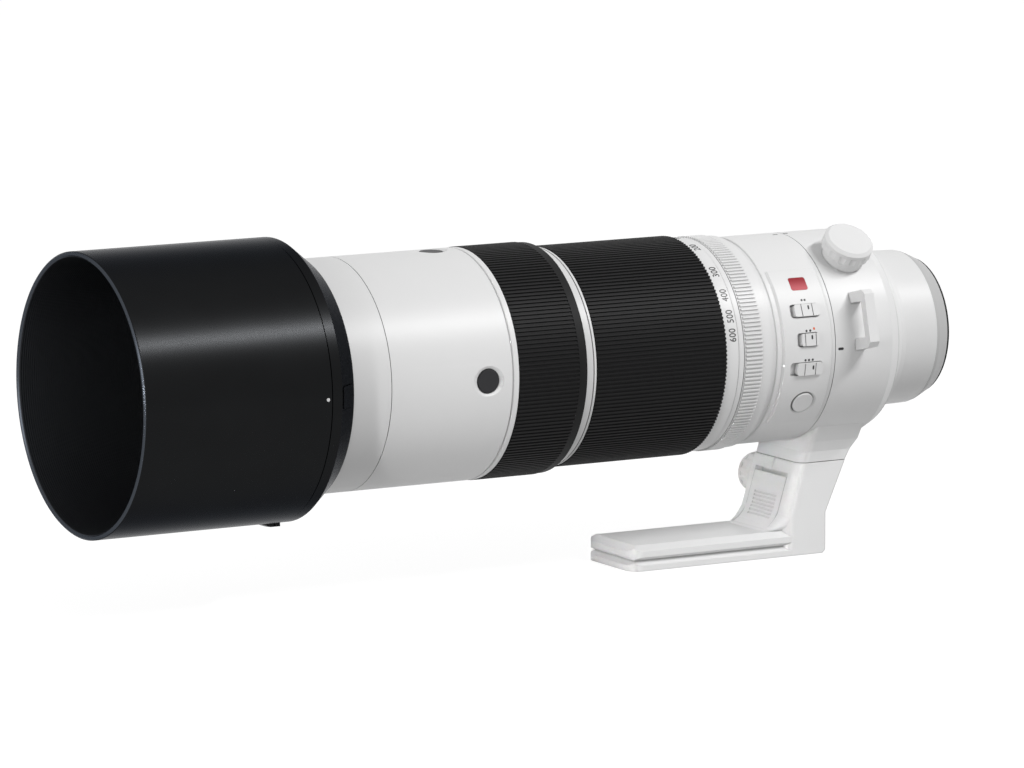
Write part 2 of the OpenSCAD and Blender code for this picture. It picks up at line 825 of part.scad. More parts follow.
module iris_blade_6() {
    iris_blade(6);
}

module iris_blade_7() {
    iris_blade(7);
}

// Focus group on two rods, between the iris cover and the stabiliser
rod_r = 1.5;
rod_inset = 6.4;
rod_offset = main_bore - rod_inset;
rod_places = [[0, -rod_offset], [0, rod_offset]];
rod_sleeve_r = 3.2;
stabiliser_setback = 6;
stabiliser_x = collar_front_x + stabiliser_setback;
stabiliser_len = 15;
focus_ear_len = 12;
focus_bore = rod_offset - focus_ear_len;
focus_cell_wall = 3;
focus_cell_len = 12;
focus_cell_x = (iris_rear_x + stabiliser_x - focus_cell_len) / 2;
focus_ear_t = 4;
focus_sag_shares = [0.1, -0.4];
rod_front_x = iris_cover_x;
rod_rear_x = stabiliser_x + iris_plate_t;

module rod_holes() {
    for (place = rod_places)
        axial_bar(place, rod_front_x - overrun, rod_rear_x + overrun, rod_r);
}

module iris_cover() {
    color(black) difference() {
        tube(iris_cover_x, iris_rear_x, iris_plate_in, guide_in);
        rod_holes();
    }
}

module focus_rods() {
    color(metal) for (place = rod_places)
        axial_bar(place, rod_front_x, rod_rear_x, rod_r);
}

module focus_cell() {
    end = focus_cell_x + focus_cell_len;
    ear_in = focus_bore + focus_cell_wall / 2;
    color(black) difference() {
        union() {
            turned([
                [focus_bore, focus_cell_x], [focus_bore + focus_cell_wall, focus_cell_x],
                [focus_bore + focus_cell_wall, end], [focus_bore - cell_lip, end],
                [focus_bore - cell_lip, end - cell_lip], [focus_bore, end - cell_lip]
            ]);
            for (place = rod_places)
                axial_bar(place, focus_cell_x, end, rod_sleeve_r);
            for (side = [-1, 1])
                axial() translate([-focus_ear_t / 2, side > 0 ? ear_in : -rod_offset, focus_cell_x])
                    cube([focus_ear_t, rod_offset - ear_in, focus_cell_len / 2]);
        }
        for (place = rod_places)
            axial_bar(place, focus_cell_x - overrun, end + overrun, rod_r + pin_gap);
    }
}

module focus_glass() {
    lens_element(focus_cell_x + focus_cell_len - cell_lip - inner_glass_t, inner_glass_t, focus_bore,
        focus_sag_shares);
}

// Stabiliser: a base with two rods, a frame that slides on them, and a cell that slides on the frame
stab_travel = 1.2;
stab_rod_r = 1.2;
stab_sleeve_r = 2.6;
stab_small_sleeve_r = 2;
stab_wall = 2.4;
stab_base_in = main_bore - stab_wall;
stab_frame_inset = 6;
stab_frame_w = 9.2;
stab_rod_z_inset = 8.2;
stab_rod_y_inset = 11.8;
stab_frame_out = stab_base_in - stab_frame_inset;
stab_frame_in = stab_frame_out - stab_frame_w;
stab_rod_z = stab_base_in - stab_rod_z_inset;
stab_rod_y = stab_base_in - stab_rod_y_inset;
stab_plate_t = 2;
stab_half_sleeve = 6;
stab_half_gap = 10.5;
stab_post = 3.4;
stab_arm_w = 4;
stab_arm_t = 2;
stab_cell_out = stab_frame_in - stab_travel - run_gap;
stab_bore = stab_cell_out - stab_wall;
stab_rod_setback = 5;
stab_rod_x = stabiliser_x + stab_rod_setback;
stab_plate_x = stab_rod_x + stab_sleeve_r - stab_plate_t / 4;
stab_cross_x = stab_plate_x + stab_plate_t + stab_small_sleeve_r + run_gap;
stab_sag_shares = [0.2, 0.2];

module stabiliser_base() {
    half_chord = sqrt(pow(stab_base_in, 2) - pow(stab_rod_z, 2));
    color(black) {
        tube(stabiliser_x, stabiliser_x + stabiliser_len, stab_base_in, main_bore);
        difference() {
            tube(stabiliser_x, stabiliser_x + iris_plate_t, stab_cell_out, main_bore);
            rod_holes();
        }
        for (side = [-1, 1])
            translate([stab_rod_x, 0, side * stab_rod_z]) along_y(half_chord + stab_rod_r / 2, stab_rod_r);
    }
}

module stabiliser_frame() {
    color(grey) difference() {
        union() {
            tube(stab_plate_x, stab_plate_x + stab_plate_t, stab_frame_in, stab_frame_out);
            for (side = [-1, 1]) {
                translate([stab_rod_x, 0, side * stab_rod_z]) along_y(stab_half_sleeve, stab_sleeve_r);
                translate([stab_cross_x, side * stab_rod_y, -stab_half_gap - stab_post])
                    cylinder(h = 2 * (stab_half_gap + stab_post), r = stab_rod_r, $fn = small_fn);
                for (post_z = [-stab_half_gap - stab_post, stab_half_gap])
                    translate([stab_plate_x, side * stab_rod_y - stab_post / 2, post_z])
                        cube([stab_cross_x - stab_plate_x + stab_post / 2, stab_post, stab_post]);
            }
        }
        for (side = [-1, 1])
            translate([stab_rod_x, 0, side * stab_rod_z])
                along_y(stab_half_sleeve + overrun, stab_rod_r + pin_gap);
    }
}

module stabiliser_cell() {
    half_sleeve = stab_half_sleeve - stab_travel;
    start = stabiliser_x + iris_plate_t + run_gap;
    end = stabiliser_x + stabiliser_len;
    arm_in = stab_cell_out - stab_wall / 2;
    color(black) difference() {
        union() {
            tube(start, end, stab_bore, stab_cell_out);
            for (side = [-1, 1]) {
                translate([stab_cross_x, side * stab_rod_y, -half_sleeve])
                    cylinder(h = 2 * half_sleeve, r = stab_small_sleeve_r, $fn = small_fn);
                translate([stab_cross_x - stab_arm_t / 2, side > 0 ? arm_in : -stab_rod_y, -stab_arm_w / 2])
                    cube([stab_arm_t, stab_rod_y - arm_in, stab_arm_w]);
            }
        }
        for (side = [-1, 1])
            translate([stab_cross_x, side * stab_rod_y, -half_sleeve - overrun])
                cylinder(h = 2 * (half_sleeve + overrun), r = stab_rod_r + pin_gap, $fn = small_fn);
    }
    lens_element(start + stab_wall, inner_glass_t, stab_bore, stab_sag_shares);
}

// Main barrel: the section with the switch panel, and the journal that the collar turns on
panel_angle = 88.4;
panel_span = 91.6;
panel_step_len = 2.6;
panel_front_margin = 5.2;
panel_rear_margin = 1.8;
panel_front_edge_x = panel_front_x + panel_front_margin;
panel_rear_edge_x = collar_front_x - panel_rear_margin;
panel_raise = 0.8;
panel_t = 1.6;
panel_bevel = 1;
switch_cavity = 2.6;
switch_proud = 1;
switch_flange = 0.8;
switch_flange_t = 0.9;
switch_corner = 1.2;
switch_groove_w = 0.4;
range_switch_angle = 67.6;
aperture_switch_angle = 83.4;
preset_switch_angle = 99.2;
set_button_angle = 120.1;
switch_setback = 13.3;
set_button_setback = 13;
switch_x = collar_front_x - switch_setback;
set_button_x = collar_front_x - set_button_setback;
set_dish_r = 6.4;
set_button_seal = 1.3;
panel_out = mid_r + panel_raise;
panel_in = panel_out - panel_t;
switch_floor = panel_in - switch_cavity;

// The room that a slide switch sweeps, with or without the flange that covers its slot
module switch_space(angle, length, steps, covers, grow) {
    travel = steps * switch_step;
    spoke(switch_x - travel / 2, angle) translate([0, 0, switch_floor])
        rounded_plate(length + (1 + 2 * covers) * travel + 2 * grow, switch_w + 2 * grow,
            switch_corner + grow, mid_r);
}

module switch_spaces(covers, grow) {
    switch_space(range_switch_angle, switch_len, 1, covers, grow);
    switch_space(aperture_switch_angle, short_switch_len, 1, covers, grow);
    switch_space(preset_switch_angle, switch_len, 2, covers, grow);
}

module main_barrel() {
    step_x = panel_front_x + panel_step_len;
    cavity_grow = switch_flange + run_gap;
    color(white) difference() {
        turned([
            [guide_r, panel_front_x], [mid_r - groove_w, panel_front_x], [mid_r - groove_w, step_x],
            [mid_r, step_x + groove_w], [mid_r, collar_front_x], [journal_r, collar_front_x],
            [journal_r, collar_rear_x], [main_bore, collar_rear_x],
            [main_bore, guide_rear_x], [guide_r, guide_rear_x]
        ]);
        sector(panel_front_edge_x, panel_rear_edge_x, panel_in, panel_out + overrun, panel_angle, panel_span);
        switch_spaces(1, cavity_grow);
        spoke(set_button_x, set_button_angle) translate([0, 0, switch_floor])
            cylinder(h = mid_r, r = set_button_r + cavity_grow, $fn = round_fn);
    }
}

// The badge is a plain plate let into the panel
badge_len = 8.3;
badge_w = 6.2;
badge_corner = 1;
badge_angle = 52;
badge_setback = 13.6;
badge_depth = 0.6;
badge_x = collar_front_x - badge_setback;

module badge_block(height) {
    spoke(badge_x, badge_angle) translate([0, 0, panel_out - badge_depth])
        rounded_plate(badge_len, badge_w, badge_corner, height);
}

module badge_plate() {
    color(red) badge_block(badge_depth + sliver);
}

module switch_panel() {
    color(white) difference() {
        part_turned([
            [panel_in, panel_front_edge_x], [mid_r, panel_front_edge_x],
            [panel_out, panel_front_edge_x + panel_bevel], [panel_out, panel_rear_edge_x - panel_bevel],
            [mid_r, panel_rear_edge_x], [panel_in, panel_rear_edge_x]
        ], panel_angle, panel_span);
        switch_spaces(0, run_gap);
        button_hole(set_button_x, set_button_angle, switch_floor, panel_out, set_button_r, set_dish_r);
        badge_block(mid_r);
    }
}

// A slide switch: a finger piece with two fine cross grooves, and a flange that covers its slot
module slide_switch(angle, length, steps) {
    top = panel_out + switch_proud;
    flange_top = panel_in - run_gap;
    flange_len = length + 2 * (switch_flange + steps * switch_step);
    color(white) difference() {
        union() {
            spoke(switch_x, angle) translate([0, 0, flange_top - switch_flange_t / 2])
                rounded_plate(length, switch_w, switch_corner, top - flange_top + switch_flange_t / 2);
            intersection() {
                spoke(switch_x, angle) translate([0, 0, switch_floor])
                    rounded_plate(flange_len, switch_w + 2 * switch_flange,
                        switch_corner + switch_flange, mid_r);
                tube(panel_front_edge_x, panel_rear_edge_x, flange_top - switch_flange_t, flange_top);
            }
        }
        for (side = [-1, 1])
            spoke(switch_x, angle)
                translate([side * switch_w / 2 - switch_groove_w / 2, -switch_w, top - switch_groove_w])
                    cube([switch_groove_w, 2 * switch_w, switch_w]);
    }
}

module range_switch() {
    slide_switch(range_switch_angle, switch_len, 1);
}

module aperture_switch() {
    slide_switch(aperture_switch_angle, short_switch_len, 1);
}

module preset_switch() {
    slide_switch(preset_switch_angle, switch_len, 2);
}

module set_button() {
    color(white) round_button(set_button_x, set_button_angle, panel_in - set_button_seal,
        panel_out + sliver, set_button_r);
}

// Tripod collar: a ring with a stand for the foot, two strap lugs and a seat for the lock knob
collar_chamfer = 4.4;
collar_rear_drop = 2.1;
stand_len = 22.4;
stand_front_x = collar_front_x + run_gap;
stand_rear_x = collar_front_x + stand_len;
// How the stand widens toward the collar: height over the split line, rear reach, added half width
// and front reach
stand_flare = [[0, 0, 0, 1.6], [4.6, 2.2, 0.5, 0], [9.2, 5, 2.4, 0], [17.4, 5, 7.4, 0]];
knob_setback = 15.2;
knob_x = collar_front_x + knob_setback;
knob_angle = 35.5;
knob_pad_r = 9;
knob_pad_h = 3;
knob_pad_top = mid_r + knob_pad_h;
knob_h = 7.4;
knob_shaft_r = 3;
knob_tip_r = journal_r + run_gap * 2;
flute_count = 14;
flute_share = 0.3;
flute_depth = 0.45;
knob_rim_share = 0.18;
lug_setback = 12.7;
lug_x = collar_front_x + lug_setback;
lug_len = 4.8;
lug_w = 25;
lug_angle = 75.5;
lug_h = 10.9;
lug_top = mid_r + lug_h;
lug_bar_t = 3.4;
lug_foot_w = 4.6;
lug_bevel = 1.4;
corner_r = 4.5;
rear_corner_r = 1.4;
rail_top_w = 14;
rail_h = 5;
rail_lean = 2.6;
rail_setback = 2.4;
rail_front_x = collar_front_x + rail_setback;
rail_rear_x = stand_rear_x - rail_setback;

// A thin slab of the stand or neck with round corners, to be joined to the next one
module neck_slab(drop, front, rear, half_w) {
    for (side = [-1, 1]) {
        translate([front + corner_r, side * (half_w - corner_r), -drop])
            cylinder(h = sliver, r = corner_r, $fn = small_fn);
        translate([rear - rear_corner_r, side * (half_w - rear_corner_r), -drop])
            cylinder(h = sliver, r = rear_corner_r, $fn = small_fn);
    }
}

// The dovetail rail under the stand, and with a gap the groove that takes it
module foot_rail(gap, front, rear) {
    half_top = rail_top_w / 2 + gap;
    half_low = half_top + rail_lean;
    translate([front, 0, -split_drop]) rotate([right_angle, 0, right_angle])
        linear_extrude(rear - front) polygon([
            [-half_top, rail_h / 4], [half_top, rail_h / 4], [half_top, 0],
            [half_low, -rail_h - gap], [-half_low, -rail_h - gap], [-half_top, 0]
        ]);
}

module strap_lug(angle) {
    window_w = lug_w - 2 * lug_foot_w;
    root = mid_r - collar_wall / 2;
    spoke(lug_x, angle) difference() {
        translate([-lug_len / 2, -lug_w / 2, root]) cube([lug_len, lug_w, lug_top - root]);
        translate([-lug_len, -window_w / 2, mid_r - overrun])
            cube([2 * lug_len, window_w, lug_h - lug_bar_t + overrun]);
        for (side = [-1, 1])
            translate([0, side * lug_w / 2, lug_top]) rotate([side * right_angle / 2, 0, 0])
                cube([2 * lug_len, 2 * lug_bevel, 2 * lug_bevel], center = true);
    }
}

module collar_ring() {
    rear = collar_rear_x - run_gap;
    color(white) difference() {
        union() {
            turned([
                [collar_in, stand_front_x], [mid_r, stand_front_x], [mid_r, rear - collar_chamfer],
                [mid_r - collar_rear_drop, rear], [collar_in, rear]
            ]);
            strap_lug(lug_angle);
            strap_lug(-lug_angle);
            spoke(knob_x, knob_angle) translate([0, 0, collar_in])
                cylinder(h = knob_pad_top - collar_in, r = knob_pad_r, $fn = round_fn);
            for (i = [0 : len(stand_flare) - 2])
                hull()
                    for (flare = [stand_flare[i], stand_flare[i + 1]])
                        neck_slab(split_drop - flare[0], stand_front_x - flare[3], stand_rear_x + flare[1],
                            foot_w / 2 + flare[2]);
            foot_rail(0, rail_front_x + run_gap, rail_rear_x);
        }
        axial() translate([0, 0, stand_front_x - overrun])
            cylinder(h = collar_len + 2 * overrun, r = collar_in, $fn = round_fn);
        spoke(knob_x, knob_angle) translate([0, 0, journal_r - overrun])
            cylinder(h = knob_pad_top - journal_r + 2 * overrun, r = knob_shaft_r + pin_gap, $fn = round_fn);
    }
}

// A knob on a shaft, with shallow flutes that stop below its rim: the base of the disc is at z = 0
module fluted_knob(r, height, shaft_r, shaft_len) {
    flute_r = r * flute_share;
    rim = height * knob_rim_share;
    difference() {
        rotate_extrude($fn = round_fn) polygon([
            [0, -shaft_len], [shaft_r, -shaft_len], [shaft_r, 0], [r - rim, 0], [r, rim],
            [r, height - rim], [r - rim, height], [0, height]
        ]);
        for (i = [0 : flute_count - 1]) rotate([0, 0, full_turn * i / flute_count])
            translate([r + flute_r - flute_depth, 0, -overrun])
                cylinder(h = height + overrun - 2 * rim, r = flute_r, $fn = small_fn);
    }
}

module collar_lock_knob() {
    base = knob_pad_top + run_gap;
    color(white) spoke(knob_x, knob_angle) translate([0, 0, base])
        fluted_knob(knob_r, knob_h, knob_shaft_r, base - knob_tip_r);
}

// Tripod foot: neck, plate with dovetail edges, rail groove, lever recess and screw holes
neck_front_lip = 2;
neck_front_x = collar_front_x - neck_front_lip;
neck_reach = 8.7;
neck_low_x = collar_front_x - neck_reach;
neck_heel_setback = 12.6;
neck_heel_x = collar_front_x + neck_heel_setback;
neck_knee_h = 6.9;
plate_front_x = collar_front_x - plate_reach;
plate_edge = 3.2;
// How the toe spreads onto the plate: height over the plate, reach ahead of the knee, inset of its sides
toe_flare = [[7.3, -0.3, 0.3], [4.9, 1.5, 0.4], [2.1, 4.2, 1.2], [0, 8.6, 3.5]];
plate_edge_h = 2.4;
groove_top = 5;
groove_bottom = 8.5;
groove_depth = 3;
plate_corner = 6;
heel_bevel = 1.4;
clamp_setback = 5.4;
clamp_h = 10.9;
clamp_x = collar_front_x + clamp_setback;
clamp_drop = split_drop + clamp_h;
clamp_shaft_r = 3;
clamp_boss_r = 6;
clamp_boss_h = 1.3;
clamp_knob_h = 8.6;
clamp_shaft_len = 14;
tripod_hole_depth = 8.5;
tripod_hole_setback = 16;
lever_w = 25.4;
lever_t = 2.8;
lever_room = 1.6;
lever_side_gap = 0.45;
lever_top_gap = 1.8;
lever_inset = 2.1;
lever_h = 7;
lever_top_drop = split_drop + lever_h;
lever_lean = 15;
lever_curl = 12;
// The lower points of the lever's face: reach ahead of the knee, height over the plate
lever_steps = [[-0.3, 8.4], [1.4, 4.9], [3.9, 2.2], [6.8, 0.4]];
lever_pivot_inset = 1.6;
lever_pivot_h = 5.2;
lever_pivot = [neck_low_x + lever_pivot_inset, 0, lever_pivot_h - plate_drop];
lever_pin_r = 1.2;
lever_pin_reach = 2.8;
lever_boss_r = 2.4;
slot_w = 1.4;
ridge_count = 7;
ridge_pitch = 1.65;
ridge_start = 9;
ridge_r = 0.5;
ridge_half_w = 9;

// The lever's face follows the front of the neck, and its back follows the face
lever_face = concat(
    [[neck_front_x - lever_inset, -lever_top_drop]],
    [for (step = lever_steps) [neck_low_x - step[0], step[1] - plate_drop]]
);
function lever_back(depth) = [
    for (i = [len(lever_face) - 1 : -1 : 0])
        let (turn = lever_lean + i * lever_curl)
        lever_face[i] + depth * [cos(turn), -sin(turn)]
];

// The place at a distance along a chain of points, counted from its point i
function along(points, distance, i) =
    let (step = points[i + 1] - points[i])
    distance <= norm(step) || i == len(points) - 2
        ? points[i] + step * distance / norm(step)
        : along(points, distance - norm(step), i + 1);

// Half of the foot plate's section: a dovetail groove runs along each side and across the front
plate_half = [
    [foot_w / 2, -plate_t], [foot_w / 2, -groove_bottom],
    [foot_w / 2 - groove_depth, -(groove_top + groove_bottom) / 2],
    [foot_w / 2, -groove_top], [foot_w / 2, -plate_edge_h], [foot_w / 2 - plate_edge, 0]
];
plate_outline = concat(plate_half, [
    for (i = [len(plate_half) - 1 : -1 : 0]) [-plate_half[i][0], plate_half[i][1]]
]);

module plate_blank() {
    low = -plate_drop - plate_t;
    rear_x = neck_low_x + corner_r;
    nose = [for (place = plate_half) [plate_front_x + foot_w / 2 - place[0], place[1] - plate_drop]];
    intersection() {
        translate([plate_front_x, 0, -plate_drop]) rotate([right_angle, 0, right_angle])
            linear_extrude(rear_x - plate_front_x) polygon(plate_outline);
        translate([plate_front_x + plate_reach / 2, 0, low - overrun])
            rounded_plate(plate_reach, foot_w, plate_corner, plate_t + 2 * overrun);
        across_y(foot_w) polygon(concat([[plate_front_x, low - overrun]], nose,
            [[rear_x + overrun, -plate_drop], [rear_x + overrun, low - overrun]]));
    }
}

// The slabs of the neck down to its knee, of the heel below it and of the toe on the plate
knee_drop = plate_drop - neck_knee_h;
neck_levels = [
    [split_drop + run_gap, neck_front_x, stand_rear_x, 0], [knee_drop, neck_low_x, neck_heel_x, 0]
];
heel_levels = [
    [knee_drop + sliver, neck_low_x, neck_heel_x, 0],
    [plate_drop + plate_t - heel_bevel, neck_low_x, neck_heel_x, 0],
    [plate_drop + plate_t, neck_low_x, neck_heel_x - heel_bevel, 0]
];
toe_levels = [
    for (flare = toe_flare)
        [plate_drop - flare[0], neck_low_x - flare[1], neck_low_x + 2 * corner_r, flare[2]]
];

module slab_hull(levels) {
    hull()
        for (level = levels)
            neck_slab(level[0], level[1], level[2], foot_w / 2 - level[3]);
}

module across_y(half_w) {
    translate([0, half_w, 0]) rotate([right_angle, 0, 0]) linear_extrude(2 * half_w) children();
}

module lever_recess() {
    half_w = lever_w / 2 + lever_side_gap;
    back = lever_back(lever_t + lever_room);
    tip_x = lever_face[len(lever_face) - 1][0] - run_gap;
    top_z = lever_top_gap - lever_top_drop;
    across_y(half_w) polygon(concat(
        [[tip_x, top_z], [tip_x, back[0][1]]], back, [[back[len(back) - 1][0], top_z]]
    ));
    translate(lever_pivot) along_y(half_w, lever_boss_r + run_gap);
}

module tripod_foot() {
    clamp_place = [clamp_x, foot_w / 2, -clamp_drop];
    color(white) difference() {
        union() {
            slab_hull(neck_levels);
            slab_hull(heel_levels);
            for (i = [0 : len(toe_levels) - 2])
                slab_hull([toe_levels[i], toe_levels[i + 1]]);
            plate_blank();
            translate(clamp_place - [0, clamp_boss_h, 0]) rotate([-right_angle, 0, 0])
                cylinder(h = 2 * clamp_boss_h, r = clamp_boss_r, $fn = round_fn);
        }
        foot_rail(run_gap, rail_front_x, stand_rear_x + overrun);
        lever_recess();
        translate(lever_pivot) along_y(lever_w / 2 + lever_pin_reach + run_gap, lever_pin_r + pin_gap);
        translate([neck_front_x - lever_inset, -slot_w / 2, -lever_top_drop])
            cube([2 * lever_inset, slot_w, lever_top_drop - split_drop]);
        translate(clamp_place - [0, clamp_shaft_len, 0]) rotate([-right_angle, 0, 0])
            cylinder(h = 2 * clamp_shaft_len, r = clamp_shaft_r + pin_gap, $fn = round_fn);
        for (i = [0, 1])
            translate([plate_front_x + tripod_hole_setback + i * tripod_hole_gap, 0,
                -plate_drop - plate_t - overrun])
                cylinder(h = tripod_hole_depth + overrun, r = tripod_hole_r, $fn = round_fn);
    }
}

module foot_clamp_knob() {
    base = foot_w / 2 + clamp_boss_h + run_gap;
    color(white) translate([clamp_x, base, -clamp_drop]) rotate([-right_angle, 0, 0])
        fluted_knob(clamp_knob_r, clamp_knob_h, clamp_shaft_r, clamp_shaft_len);
}

module foot_release_lever() {
    color(white) difference() {
        union() {
            across_y(lever_w / 2) polygon(concat(lever_face, lever_back(lever_t)));
            translate(lever_pivot) along_y(lever_w / 2, lever_boss_r);
            translate(lever_pivot) along_y(lever_w / 2 + lever_pin_reach, lever_pin_r);
        }
        for (i = [0 : ridge_count - 1]) {
            place = along(lever_face, ridge_start + i * ridge_pitch, 0);
            translate([place[0], 0, place[1]]) along_y(ridge_half_w, ridge_r);
        }
    }
}

// Rear barrel, grey end ring, seal, bayonet with its screws and contacts, and the rear lens cell
rear_edge_r = mid_r - collar_rear_drop - groove_w;
rear_edge_len = 0.6;
rear_spigot_len = 4.8;
rear_curve_len = 9.1;
rear_curve_steps = 6;
rear_curve_x = collar_rear_x + rear_edge_len;
rear_taper = 0.4;
end_ring_len = 8.5;
end_ring_shoulder = 1.6;
seal_len = 1.2;
seal_w = 1.4;
seal_step = 0.5;
flange_t = 1.8;
flange_r = mount_edge_r - seal_w;
throat_in = 19.9;
throat_out = 21.7;
throat_reach = 4.8;
throat_tail = 2.6;
mount_lug_h = 1.7;
mount_lug_x = 2.3;
mount_lug_len = 1.6;
mount_lug_span = 52;
mount_lug_count = 3;
rear_in = rear_r - rear_wall;
web_t = 3;
screw_pcd_r = 25.4;
screw_count = 4;
screw_r = 1;
screw_head_r = 1.7;
screw_head_t = 0.9;
screw_slot_w = 0.5;
screw_len = 4;
pin_count = 10;
pin_turn = 5.2;
pin_r = 0.45;
pin_circle_r = 18.4;
contact_span = 62;
contact_w = 3;
contact_reach = 3.6;
mask_t = 1.8;
mask_window = [20, 26];
rear_bore = 16.5;
rear_cell_front_x = -40;
rear_cell_rear_x = -11.4;
rear_cell_wall = 2.6;
rear_glass_t = 4.5;
rear_sag_shares = [0.2, 0.2];

module rear_barrel() {
    color(white) turned(concat(
        [[rear_in, collar_rear_x - rear_spigot_len], [main_bore, collar_rear_x - rear_spigot_len],
            [main_bore, collar_rear_x], [rear_edge_r, collar_rear_x]],
        [for (i = [0 : rear_curve_steps]) let (turn = right_angle * i / rear_curve_steps) [
            rear_edge_r - (rear_edge_r - rear_r) * sin(turn),
            rear_curve_x + rear_curve_len * (1 - cos(turn))
        ]],
        [[rear_r - rear_taper, -end_ring_len], [rear_in, -end_ring_len]]
    ));
}

module screw_bars(front, rear, r) {
    axial() for (i = [0 : screw_count - 1]) rotate([0, 0, full_turn * (i + 0.5) / screw_count])
        translate([screw_pcd_r, 0, front]) cylinder(h = rear - front, r = r, $fn = small_fn);
}

module rear_ring() {
    color(grey) difference() {
        turned([
            [rear_in, -end_ring_len], [rear_r - rear_taper, -end_ring_len],
            [rear_r - 2 * rear_taper, -end_ring_len + end_ring_shoulder],
            [mount_edge_r, -seal_len], [flange_r, -seal_len], [flange_r, -flange_t],
            [throat_out, -flange_t], [throat_out, -flange_t - web_t], [rear_in - web_t / 2, -flange_t - web_t]
        ]);
        screw_bars(-flange_t - screw_len, 0, screw_r);
    }
}

module mount_gasket() {
    color(rubber) tube(-seal_len, 0, flange_r, mount_edge_r - seal_step);
}

module bayonet_mount() {
    color(metal) difference() {
        union() {
            turned([
                [throat_in, -flange_t - throat_tail], [throat_out, -flange_t - throat_tail],
                [throat_out, -flange_t], [flange_r, -flange_t], [flange_r, 0], [throat_out, 0],
                [throat_out, throat_reach], [throat_in, throat_reach]
            ]);
            for (i = [0 : mount_lug_count - 1])
                sector(mount_lug_x, mount_lug_x + mount_lug_len, (throat_in + throat_out) / 2,
                    throat_out + mount_lug_h, full_turn * i / mount_lug_count, mount_lug_span);
        }
        screw_bars(-flange_t - overrun, overrun, screw_r);
        screw_bars(-screw_head_t, overrun, screw_head_r);
    }
}

module mount_screws() {
    color(metal) difference() {
        union() {
            screw_bars(-flange_t - screw_len, -screw_head_t / 2, screw_r);
            screw_bars(-screw_head_t, -screw_head_t / 9, screw_head_r);
        }
        axial() for (i = [0 : screw_count - 1], cross = [0, right_angle])
            rotate([0, 0, full_turn * (i + 0.5) / screw_count]) translate([screw_pcd_r, 0, 0])
                rotate([0, 0, cross])
                    cube([2 * screw_r, screw_slot_w, screw_head_t], center = true);
    }
}

module pin_bars(front, rear) {
    axial() for (i = [0 : pin_count - 1]) rotate([0, 0, half_turn + (i - (pin_count - 1) / 2) * pin_turn])
        translate([pin_circle_r, 0, front]) cylinder(h = rear - front, r = pin_r, $fn = small_fn);
}

module mount_contacts() {
    mask_front = -flange_t - throat_tail;
    color(black) {
        sector(mask_front + mask_t, contact_reach, throat_in - contact_w, throat_in, half_turn, contact_span);
        axial() translate([0, 0, mask_front]) difference() {
            cylinder(h = mask_t, r = throat_in, $fn = round_fn);
            translate([-mask_window[0] / 2, -mask_window[1] / 2, -overrun])
                cube([mask_window[0], mask_window[1], mask_t + 2 * overrun]);
        }
    }
    color(brass) pin_bars(contact_reach - sliver, contact_reach + pin_r);
}

module rear_cell() {
    outer = rear_bore + rear_cell_wall;
    flange_front = rear_cell_rear_x - rear_cell_wall;
    color(black) turned([
        [rear_bore, rear_cell_front_x], [outer, rear_cell_front_x], [outer, flange_front],
        [rear_in, flange_front], [rear_in, rear_cell_rear_x], [rear_bore, rear_cell_rear_x]
    ]);
}

module rear_glass() {
    lens_element(rear_cell_rear_x - 2 * rear_glass_t, rear_glass_t, rear_bore, rear_sag_shares);
    lens_element(rear_cell_front_x + rear_glass_t, rear_glass_t, rear_bore, rear_sag_shares);
}

hood_shell();
hood_release_button();
hood_window();
front_ring();
front_cell();
front_glass();
front_barrel();
focus_button_top();
focus_button_near();
focus_button_bottom();
focus_button_far();
focus_ring_sleeve();
focus_ring_grip();
divider_ring();
zoom_ring_sleeve();
zoom_ring_grip();
index_ring();
aperture_ring();
guide_tube();
cam_tube();
variator_cell();
variator_glass();
compensator_cell();
compensator_glass();
iris_housing();
iris_cover();
iris_ring();
iris_blade_1();
iris_blade_2();
iris_blade_3();
iris_blade_4();
iris_blade_5();
iris_blade_6();
iris_blade_7();
main_barrel();
switch_panel();
badge_plate();
range_switch();
aperture_switch();
preset_switch();
set_button();
focus_rods();
focus_cell();
focus_glass();
stabiliser_base();
stabiliser_frame();
stabiliser_cell();
collar_ring();
collar_lock_knob();
tripod_foot();
foot_clamp_knob();
foot_release_lever();
rear_barrel();
rear_ring();
mount_gasket();
bayonet_mount();
mount_screws();
mount_contacts();
rear_cell();
rear_glass();
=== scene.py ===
import math

import bmesh
import bpy
from mathutils import Matrix, Vector


